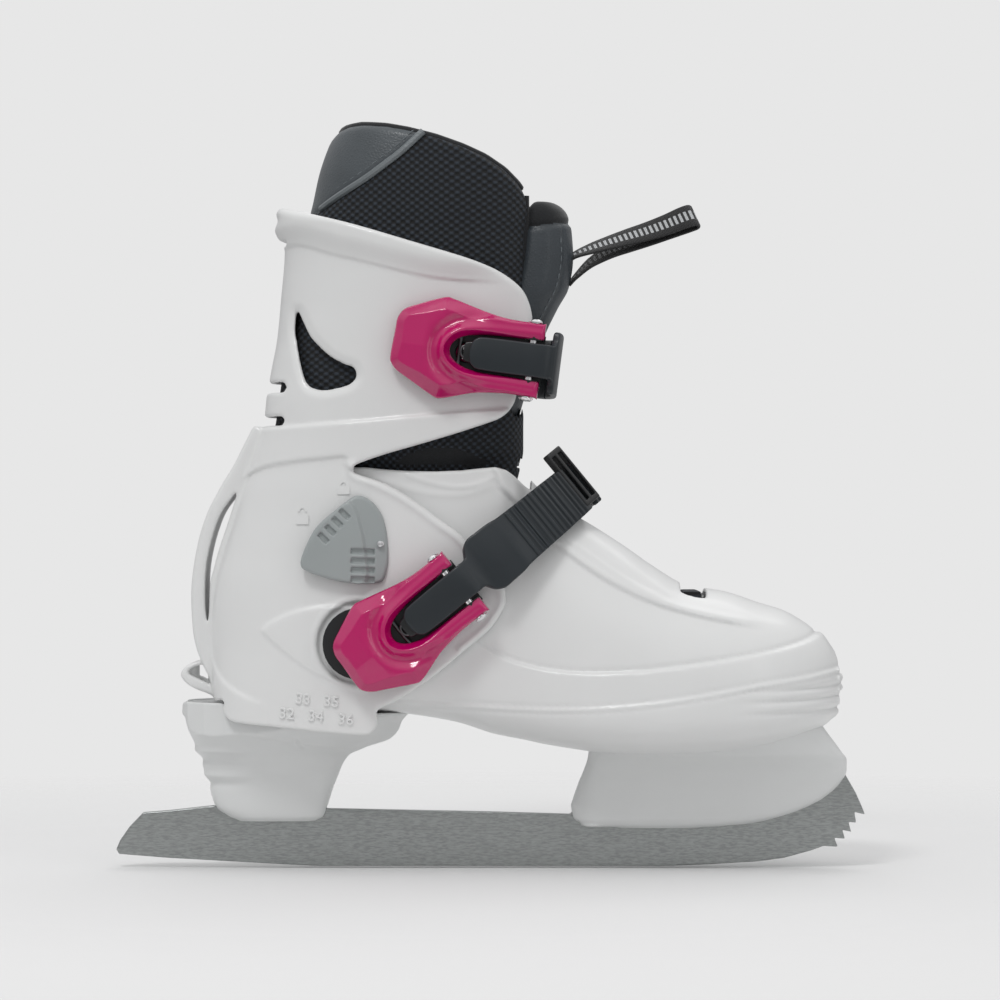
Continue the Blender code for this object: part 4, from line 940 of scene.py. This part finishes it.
def build_pull_loop():
    path = smooth_path(PULL_LOOP, False, 10)
    far = np.concatenate([[0], np.cumsum(np.hypot(*np.diff(path, axis=0).T))])
    rings, columns = [], (-5, -4.6, -2.3, 0, 2.3, 4.6, 5)
    # the webbing leans about the loop's length, so that its upper face shows from the outer side
    start, main = path[0], np.array([0.9272, 0.0, 0.3746])
    upright, side = np.array([-0.3746, 0.0, 0.9272]), np.array([0.0, 1.0, 0.0])
    for i, (px, pz) in enumerate(path):
        a, b = path[max(i - 1, 0)], path[min(i + 1, len(path) - 1)]
        nx, nz = np.array([-(b[1] - a[1]), b[0] - a[0]]) / max(math.hypot(*(b - a)), 1e-6)
        offset, normal = np.array([px - start[0], 0, pz - start[1]]), np.array([nx, 0.0, nz])
        lean = math.radians(np.interp(offset @ main, (0, 12, 26, 50), (8, 26, 40, 58)))
        up = math.cos(lean) * upright - math.sin(lean) * side
        wide = math.cos(lean) * side + math.sin(lean) * upright
        centre = np.array([start[0], 0, start[1]]) + (offset @ main) * main + (offset @ upright) * up
        out = (normal @ main) * main + (normal @ upright) * up
        edge = [0.6 if abs(w) == 5 else 1 for w in columns]
        top = [centre + wide * w + out * 0.5 * e for w, e in zip(columns, edge)]
        low = [centre + wide * w - out * 0.5 * e for w, e in zip(columns[::-1], edge)]
        rings.append(top + low)
    loop = solid("pull_loop_webbing", [sweep(rings)], [WEBBING], "boot", ["pull_loop"])
    mesh = loop.data
    uv = mesh.uv_layers.new(name="UVMap")
    count = len(rings[0])
    sides = [w / 5 for w in columns + columns[::-1]]
    for corner in mesh.loops:
        r, i = divmod(corner.vertex_index, count)
        uv.data[corner.index].uv = (far[r], sides[i])


# ---------------------------------------------------------------- buckles
UPPER = buckle_frame((14.9, 188.1), -7.4)
LOWER = buckle_frame((-11.9, 105.5), 39.4)
PIN_N = 43.0
UPPER_LEVER = [
    (4.2, -12.2), (3, -13.4), (-6.4, -13.2), (-14, -13.8), (-20, -14.7), (-26, -16.6), (-31.1, -18),
    (-34, -17.4), (-42.5, -12.8), (-47.8, -9.9), (-50.2, -7.4), (-50.9, -4.6), (-50.3, 5), (-50, 9.2),
    (-48, 12.6), (-44, 14.7), (-34, 18.8), (-30.5, 18.6), (-25, 17.2), (-16.9, 15.1), (-9, 13.8), (2.8, 13.4),
    (4.2, 12),
]
SLOT = [(8, -7.6), (3, -7.4), (-9, -6.9), (-19, -6.6), (-25, -5.2), (-28.6, -2.6), (-29.6, 0.4), (-28, 3.6),
        (-24, 5.8), (-16, 6.9), (-6, 7.2), (3, 7.4), (8, 7.6)]


def build_lever(prefix, place):
    low, high = (-53, -20.5, 40.2), (6, 20.5, 50.8)
    a, b, n, step = grid(low, high, 0.32)
    edge = outline(UPPER_LEVER, a, b, 3)
    slot = outline(SLOT, a, b, 3)
    inside = -edge
    # faceted top: a flat crown, sloping shoulders, a falling tip, and a raised lip round the slot
    crown = 49.0 - 0.085 * np.abs(a + 33) - np.maximum(-39 - a, 0) * 0.10
    crown = crown - 0.06 * np.abs(b) * ramp(-24, -34, a)
    shoulder = 43.4 + 1.05 * inside
    arm = ramp(-24, -12, a)
    shoulder = shoulder * (1 - arm) + (45.2 + 1.5 * inside) * arm
    top = np.minimum(crown, shoulder)
    valley = 1.7 * bump(slot - 6.2, 2.2) * ramp(-14, -24, a) * ramp(-44, -34, a)
    top = top - valley + 1.1 * bump(slot - 2.5, 1.4) * (1 - 0.6 * arm)
    top = np.minimum(top, 45.4 + 1.9 * slot)
    d = both(edge, n - top, 0.7)
    d = np.maximum(d, 40.8 - n)
    d = less(d, slot, 0.5)
    # arm ends rounded about the hinge pin
    tip = outline([(4.4, 38), (4.4, PIN_N), (3.8, PIN_N + 2.4), (2.2, PIN_N + 3.9), (0, PIN_N + 4.5),
                   (-4, PIN_N + 5.4), (-8, PIN_N + 6.8), (-14, PIN_N + 9), (-70, PIN_N + 20), (-70, 38)], a, n, 1)
    d = both(d, tip, 0.5)
    hollow = np.maximum(edge + 2.4, n - top + 2.4)
    hollow = np.maximum(hollow, 2.0 - slot)
    hollow = np.maximum(hollow, a + 14)
    d = less(d, hollow, 0.2)
    bore = np.hypot(a, n - PIN_N) - 1.75
    d = less(d, bore, 0.1)
    meshed(prefix + "_lever_moulding", d, low, step, [PINK], prefix + "_lever_body", [prefix + "_lever"],
           place)


def across(a, n):
    mat = Matrix.Rotation(math.radians(-90), 4, "X")
    mat.translation = Vector((a, 0.0, n))
    return mat


def build_pins(prefix, place):
    rivet = [(0.3, -15.1), (1.6, -15.0), (2.3, -14.6), (2.65, -14.0), (2.6, -13.75), (1.5, -13.7), (1.5, 13.7),
             (2.6, 13.75), (2.65, 14), (2.3, 14.6), (1.6, 15), (0.3, 15.1)]
    solid(prefix + "_lever_rivet", [moved(turned(rivet, 32), across(0, PIN_N))], [CHROME],
          prefix + "_lever_body", [prefix + "_lever_pin"], place)
    bar = [(0.5, -7.2), (0.8, -7.0), (0.8, 7.0), (0.5, 7.2)]
    solid(prefix + "_hook_bar", [moved(turned(bar, 24), across(-26, PIN_N + 0.6))], [DARK_STEEL],
          prefix + "_lever_body", [prefix + "_hook_pin"], place)
    # hook under the strap's end: a dark plate with a bright curled tip
    plate = band([(-24.6, 46.6, 2.6), (-24.2, 46.7, 3.4), (-22.5, 46.8, 3.9), (-20, 46.9, 4.2),
                  (-12, 46.9, 4.2)], 1.4)
    solid(prefix + "_hook_plate", [plate], [BLACK], prefix + "_strap_body", [prefix + "_hook"], place)
    curl = [(-24.0 - 1.6 * math.sin(t), 2.2 * math.cos(t), 46.2 + 0.3 * math.sin(t))
            for t in (math.pi * k / 12 for k in range(13))]
    solid(prefix + "_hook_curl", [tube(curl, 0.45, 10)], [DARK_STEEL], prefix + "_strap_body", (), place)


def band(path, thick, ribs=None, parts=10):
    """Strap through (a, n, half width) points on its outer face, with rounded edges and optional ribs."""
    path = smooth_path(path, False, parts)
    rings, far = [], 0.0
    for i, (a, n, half) in enumerate(path):
        a0, n0, _ = path[max(i - 1, 0)]
        a1, n1, _ = path[min(i + 1, len(path) - 1)]
        size = max(math.hypot(a1 - a0, n1 - n0), 1e-6)
        da, dn = (n1 - n0) / size, -(a1 - a0) / size
        far += 0 if i == 0 else math.hypot(a - path[i - 1][0], n - path[i - 1][1])
        lift = 0.0
        if ribs and ribs[0] < far < ribs[1]:
            lift = 0.75 * (0.5 + 0.5 * math.tanh(3 * math.sin(2 * math.pi * far / ribs[2])))
        r, ring = min(0.7, half * 0.4), []
        for s, t in ((-1, 1), (-1, 0), (1, 0), (1, 1)):
            for k in range(4):
                q = math.radians(30 * k)
                e, f = r * (1 - math.sin(q)), r * (1 - math.cos(q))
                if (s < 0) == (t == 0):
                    e, f = f, e
                w, depth = s * (half - e), thick - f if t else f - lift
                ring.append((a + da * depth, w, n + dn * depth))
        rings.append(ring)
    return sweep(rings)


BUCKLE_END = [
    (-22.2, 48.2, 2), (-21.6, 48.2, 4), (-20.4, 48.2, 5.2), (-18.6, 48.2, 5.9), (-12, 48.2, 6.1),
    (-4, 48.2, 6.1), (3, 48.2, 6.1), (6.5, 47.2, 6.1),
]
UPPER_STRAP = BUCKLE_END + [
    (8.2, 45.6, 6.2), (9.1, 43.9, 7.6), (9.5, 42.6, 11),
    (10.2, 39, 11.3), (10.8, 32, 11.3), (11.2, 20, 11.3), (11.4, 0, 11.3), (11, -14, 11.3), (9.8, -25.2, 11.3),
]
UPPER_MEDIAL = [
    (9.3, -27, 11.3), (7.2, -33.5, 11.3), (2, -39.5, 11.2), (-5, -43.2, 11), (-14, -44.8, 11),
    (-24, -45.6, 10.6), (-28, -45.9, 8.6), (-30.4, -46, 4.5),
]
LOWER_STRAP = BUCKLE_END + [
    (9.2, 45.6, 6.4), (11.4, 44.4, 9.8), (14, 43.9, 11.2),
    (18, 43.3, 11.2), (23, 42.1, 11), (27, 40.9, 10.4), (34, 37.2, 10.1), (42, 31.3, 9.9), (49, 24.6, 9.7),
    (55, 17.6, 9.5), (57.2, 14.4, 9.4),
]
MEDIAL_STRAP = [
    (60.2, 9.8, 9.4), (61.2, 5.2, 9.4), (60.5, -3, 9.4), (57, -12, 9.4), (50, -22.5, 9.6), (40, -32, 9.8),
    (27, -39.5, 10), (12, -43, 10), (-2, -43.9, 10), (-12, -43.8, 10), (-15.5, -43.7, 8), (-17.4, -43.7, 4),
]


def build_straps():
    for name, node, body, place, shape in (
            ("upper_strap_band", "upper_strap", "upper_strap_body", UPPER, band(UPPER_STRAP, 2.4)),
            ("upper_medial_band", "upper_medial_strap", "boot", UPPER, band(UPPER_MEDIAL, 2.4)),
            ("lower_strap_band", "lower_strap", "lower_strap_body", LOWER, band(LOWER_STRAP, 2.4, (54, 87, 2.7), 24)),
            ("lower_medial_band", "lower_medial_strap", "boot", LOWER, band(MEDIAL_STRAP, 2.2, (3, 30, 2.7), 24))):
        solid(name, [shape], [DARK], body, [node], place)
    # ring with two rounded slots that joins the halves of the lower strap
    low, high = (-6, -14, -3), (6, 14, 3)
    a, b, n, step = grid(low, high, 0.3)
    d = both(outline([(-4.8, -12.2), (4.8, -12.2), (4.8, 12.2), (-4.8, 12.2)], a, b, 1), np.abs(n) - 1.4, 0.9)
    for left, right in ((-3.4, -0.8), (0.8, 3.4)):
        d = less(d, outline([(left, -10), (right, -10), (right, 10), (left, 10)], a, b, 1), 0.4)
    tilt = Matrix.Rotation(math.radians(48.0), 4, "Y")
    tilt.translation = Vector((58.2, 4.3, 12.4))
    meshed("strap_ring_moulding", d, low, step, [BLACK], "lower_strap_body", ["strap_ring"],
           LOWER @ tilt)


def build_rivets():
    for name, x, z, side, seat in (
            ("upper_base_rivet", -9.0, 191.0, -1, 1.6), ("lower_base_rivet", -47.9, 84.9, -1, 3.2),
            ("upper_strap_rivet", -6.0, 190.0, 1, 3.0), ("lower_strap_rivet", -20.0, 98.5, 1, 3.0)):
        skin = float(shell_side(x, z))
        h = skin + seat
        end = skin - 4.6 if name.startswith("upper") else 32.0
        dome = [(0.2, end), (1.9, end + 0.1), (1.9, h), (3.6, h), (3.65, h + 0.35), (3.2, h + 0.8), (2.4, h + 1.1),
                (1.2, h + 1.3), (0.2, h + 1.35)]
        solid(name + "_dome", [turned(dome, 36)], [CHROME], "boot", [name], on_axis((x, 0, z), (0, side, 0)), 50)


# ---------------------------------------------------------------- size lock
KNOB = [
    (-48.2, 138.9), (-50.5, 138.2), (-56.9, 133.2), (-63, 127.8), (-66.6, 121.6), (-68.8, 115.8),
    (-68.9, 113.6), (-68.2, 112.2), (-65.5, 110.8), (-61.2, 109.2), (-53.6, 107.3), (-46.5, 106.6),
    (-43.1, 106.7), (-40.4, 107.1), (-38.9, 107.9), (-37.8, 110.6), (-37, 114.6), (-37, 119),
    (-37.3, 123.6), (-38, 128), (-39.2, 131.8), (-41, 134.6), (-42.9, 136.6), (-45.6, 138.4),
]
KNOB_SKIN = 36.0    # how far the shell's side stands from the middle behind the knob
KNOB_FACE = [(-53, 136.4), (-50.6, 135.6), (-48.8, 132.6), (-47, 126), (-45.8, 119), (-45.2, 108), (-53, 106),
             (-62, 107.6), (-70, 110), (-70.5, 114), (-68, 121), (-62, 129.4), (-57, 134)]


def build_knob():
    low, high = (-71, -42, 104), (-35, -35, 141)
    x, y, z, step = grid(low, high, 0.3)
    edge = outline(KNOB, x, z, 3)
    face = outline(KNOB_FACE, x, z, 3)
    top = KNOB_SKIN + 3.9 - 1.3 * ramp(-0.6, 1.2, face) - 0.16 * np.maximum(face, 0)
    for k in range(4):
        cz = 118.6 - 3.4 * k
        slit = outline([(-50.4, cz - 0.75), (-42.4, cz - 1.1), (-42.2, cz + 0.5), (-50.2, cz + 0.85)], x, z, 1)
        top = top - 1.3 * ramp(0.3, -0.3, slit - 0.2)
        cx, cy = -61.4 + 2.55 * k, 123.9 + 2.9 * k
        slit = outline([(cx - 1.2, cy + 0.4), (cx + 1.7, cy - 2.4), (cx + 2.8, cy - 1.3), (cx - 0.1, cy + 1.5)],
                       x, z, 1)
        top = top - 1.3 * ramp(0.3, -0.3, slit - 0.15)
    d = both(edge, -y - top, 1.3)
    d = np.maximum(d, y + KNOB_SKIN + 0.1)
    meshed("size_lock_cover", d, low, step, [KNOB_GREY], "size_knob", ["size_lock_knob"])
    pin = [(0.2, 3.4), (1.0, 3.2), (1.35, 2.6), (1.35, 0)]
    solid("size_lock_stud", [turned(pin, 24)], [CHROME], "size_knob", (),
          on_axis((-39.9, -KNOB_SKIN, 121.3), (0, -1, 0)))


# ---------------------------------------------------------------- moulded numbers and symbols
def raised(name, outlines):
    """Raised flat shapes on the heel shell: outlines are lists of (x, z) in mm."""
    parts = []
    for pts in outlines:
        middle = np.mean(pts, axis=0).astype(F4)
        relief = float(rear_relief(middle[:1], middle[1:])[0])
        rings = []
        for out in (relief - 0.5, relief + 0.5):
            rings.append([(px, -(float(shell_side(px, pz)) + out), pz) for px, pz in pts])
        parts.append(sweep(rings))
    solid(name, parts, [WHITE], "boot", smooth=30)


def build_numbers():
    """The size scale, moulded on the heel: 32 to 36."""
    for text, x, z in (("32", -77.3, 55.9), ("33", -71.3, 61.3), ("34", -66.6, 55.0), ("35", -60.9, 60.4),
                       ("36", -55.6, 53.8)):
        curve = bpy.data.curves.new("size_" + text, "FONT")
        for key, value in (("body", text), ("size", 5.6), ("extrude", 0.45), ("bevel_depth", 0.09),
                           ("bevel_resolution", 1), ("resolution_u", 4), ("space_character", 1.05)):
            setattr(curve, key, value)
        holder = bpy.data.objects.new("size_" + text, curve)
        bpy.context.scene.collection.objects.link(holder)
        bpy.context.view_layer.update()
        made = bpy.data.meshes.new_from_object(holder.evaluated_get(bpy.context.evaluated_depsgraph_get()))
        bpy.data.objects.remove(holder, do_unlink=True)
        tilt = math.radians(-5)
        co = np.empty(len(made.vertices) * 3, F4)
        made.vertices.foreach_get("co", co)
        co = co.reshape(-1, 3)
        px = x + co[:, 0] * math.cos(tilt) - co[:, 1] * math.sin(tilt)
        pz = z + 1.7 + co[:, 0] * math.sin(tilt) + co[:, 1] * math.cos(tilt)
        side = np.array([float(shell_side(u, v)) for u, v in zip(px, pz)])
        out = np.stack([px, -(side + 0.2 + co[:, 2]), pz], 1) * MM
        made.vertices.foreach_set("co", out.astype(F4).ravel())
        made.flip_normals()
        made.update()
        link("size_mark_" + text, made, [WHITE], "boot")
    # open and closed padlocks in place of words beside the size lock
    for tag, cx, cz, lift in (("closed", -53.5, 141.6, 0.0), ("open", -68.6, 130.6, 1.5)):
        lock = [[(cx - 2.3, cz - 2.2), (cx + 2.3, cz - 2.2), (cx + 2.3, cz + 1.0), (cx - 2.3, cz + 1.0)]]
        bow = [(cx + 1.7 * math.cos(t), cz + 1.0 + lift + 1.9 * math.sin(t))
               for t in (math.pi * k / 10 for k in range(11))]
        inner = [(cx + (px - cx) * 0.58, cz + 1.0 + lift + (pz - cz - 1.0 - lift) * 0.62) for px, pz in bow]
        lock.append(bow + inner[::-1])
        raised("lock_mark_" + tag, lock)


# ---------------------------------------------------------------- carried-over CAD pieces
def carry_over():
    steel = ["rear_screw_back", "rear_screw_front", "front_screw_back", "front_screw_front",
             "size_lock_axle", "size_lock_screw", "size_lock_cam"]
    looks = {**dict.fromkeys(steel, SMALL_STEEL), "insole": FOAM, "upper_base": BLACK, "lower_base": BLACK}
    edges = {"insole": 0.8, "upper_base": 0.3, "lower_base": 0.3, "size_lock_cam": 0.3}
    for name, mat in looks.items():
        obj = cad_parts[name]
        for i in range(max(1, len(obj.material_slots))):
            if not obj.material_slots:
                obj.data.materials.append(mat)
            obj.material_slots[i].material = mat
        if name in edges:
            mod = obj.modifiers.new("edges", "BEVEL")
            mod.width, mod.segments, mod.limit_method = edges[name] * MM, 2, "ANGLE"
            mod.angle_limit = math.radians(30)
            mod.harden_normals = False


# ---------------------------------------------------------------- stage, lights, camera
def build_stage():
    floor = bpy.data.meshes.new("floor")
    floor.from_pydata([(-3, -3, -0.0004), (3, -3, -0.0004), (3, 3, -0.0004), (-3, 3, -0.0004)], [], [(0, 1, 2, 3)])
    obj = bpy.data.objects.new("floor", floor)
    bpy.context.scene.collection.objects.link(obj)
    look = Look("floor", (0.8, 0.8, 0.8), 0.95, Specular_IOR_Level=0.1)
    clear = look.put("BsdfTransparent")
    mix = look.put("MixShader")
    grad = look.put("TexGradient", gradient_type="SPHERICAL")
    look.join(look.mapped((1 / 0.62, 1 / 0.5, 1)), grad.inputs[0])
    keep = look.put("MapRange", From_Min=0.0, From_Max=0.55)
    look.join(grad.outputs[0], keep.inputs["Value"])
    for i, source in enumerate((keep, clear, look.bsdf)):
        look.join(source.outputs[0], mix.inputs[i])
    look.join(mix.outputs[0], look.nodes["Material Output"].inputs["Surface"])
    floor.materials.append(look.mat)

    world = bpy.data.worlds.new("studio")
    world.use_nodes = True
    nodes, wires = world.node_tree.nodes, world.node_tree.links
    back = nodes["Background"]
    back.inputs[0].default_value = (*srgb(*BACKDROP), 1)
    room, pick, path, coords, split, tone = (nodes.new("ShaderNode" + k) for k in (
        "Background", "MixShader", "LightPath", "TexCoord", "SeparateXYZ", "ValToRGB"))
    wires.new(coords.outputs["Generated"], split.inputs[0])
    shift = nodes.new("ShaderNodeMapRange")
    shift.inputs["From Min"].default_value = -1.0
    wires.new(split.outputs[2], shift.inputs["Value"])
    wires.new(shift.outputs[0], tone.inputs[0])
    stops = tone.color_ramp.elements
    stops[0].position, stops[0].color = 0.0, (0.42, 0.42, 0.42, 1)
    stops[1].position, stops[1].color = 1.0, (0.95, 0.95, 0.95, 1)
    for at, value in ((0.42, 0.34), (0.55, 0.36), (0.75, 0.7)):
        stop = stops.new(at)
        stop.color = (value, value, value * 1.01, 1)
    wires.new(tone.outputs[0], room.inputs[0])
    for i, source in enumerate((path.outputs["Is Camera Ray"], room.outputs[0], back.outputs[0])):
        wires.new(source, pick.inputs[i])
    wires.new(pick.outputs[0], nodes["World Output"].inputs["Surface"])
    bpy.context.scene.world = world

    for name, watts, size, place in LIGHTS:
        data = bpy.data.lights.new(name, "AREA")
        data.energy, data.shape, data.size, data.size_y = watts, "RECTANGLE", size[0], size[1]
        obj = bpy.data.objects.new(name, data)
        obj.location = place
        obj.rotation_euler = (Vector(LIGHT_AIM) - Vector(place)).to_track_quat("-Z", "Y").to_euler()
        bpy.context.scene.collection.objects.link(obj)

    cam = bpy.data.cameras.new("camera")
    cam.sensor_width, cam.lens = SENSOR, LENS
    cam.clip_start, cam.clip_end = 0.05, 20
    obj = bpy.data.objects.new("camera", cam)
    obj.location = CAMERA_PLACE
    obj.rotation_euler = (math.radians(90), 0, 0)
    bpy.context.scene.collection.objects.link(obj)
    bpy.context.scene.camera = obj
    bpy.context.scene.view_settings.view_transform = "Standard"


build_rear_shell()
build_toe_shell()
build_blade()
build_holders()
build_liner()
build_tongue()
build_pull_loop()
for prefix, place in (("upper", UPPER), ("lower", LOWER)):
    build_lever(prefix, place)
    build_pins(prefix, place)
build_straps()
build_rivets()
build_knob()
build_numbers()
carry_over()
build_stage()
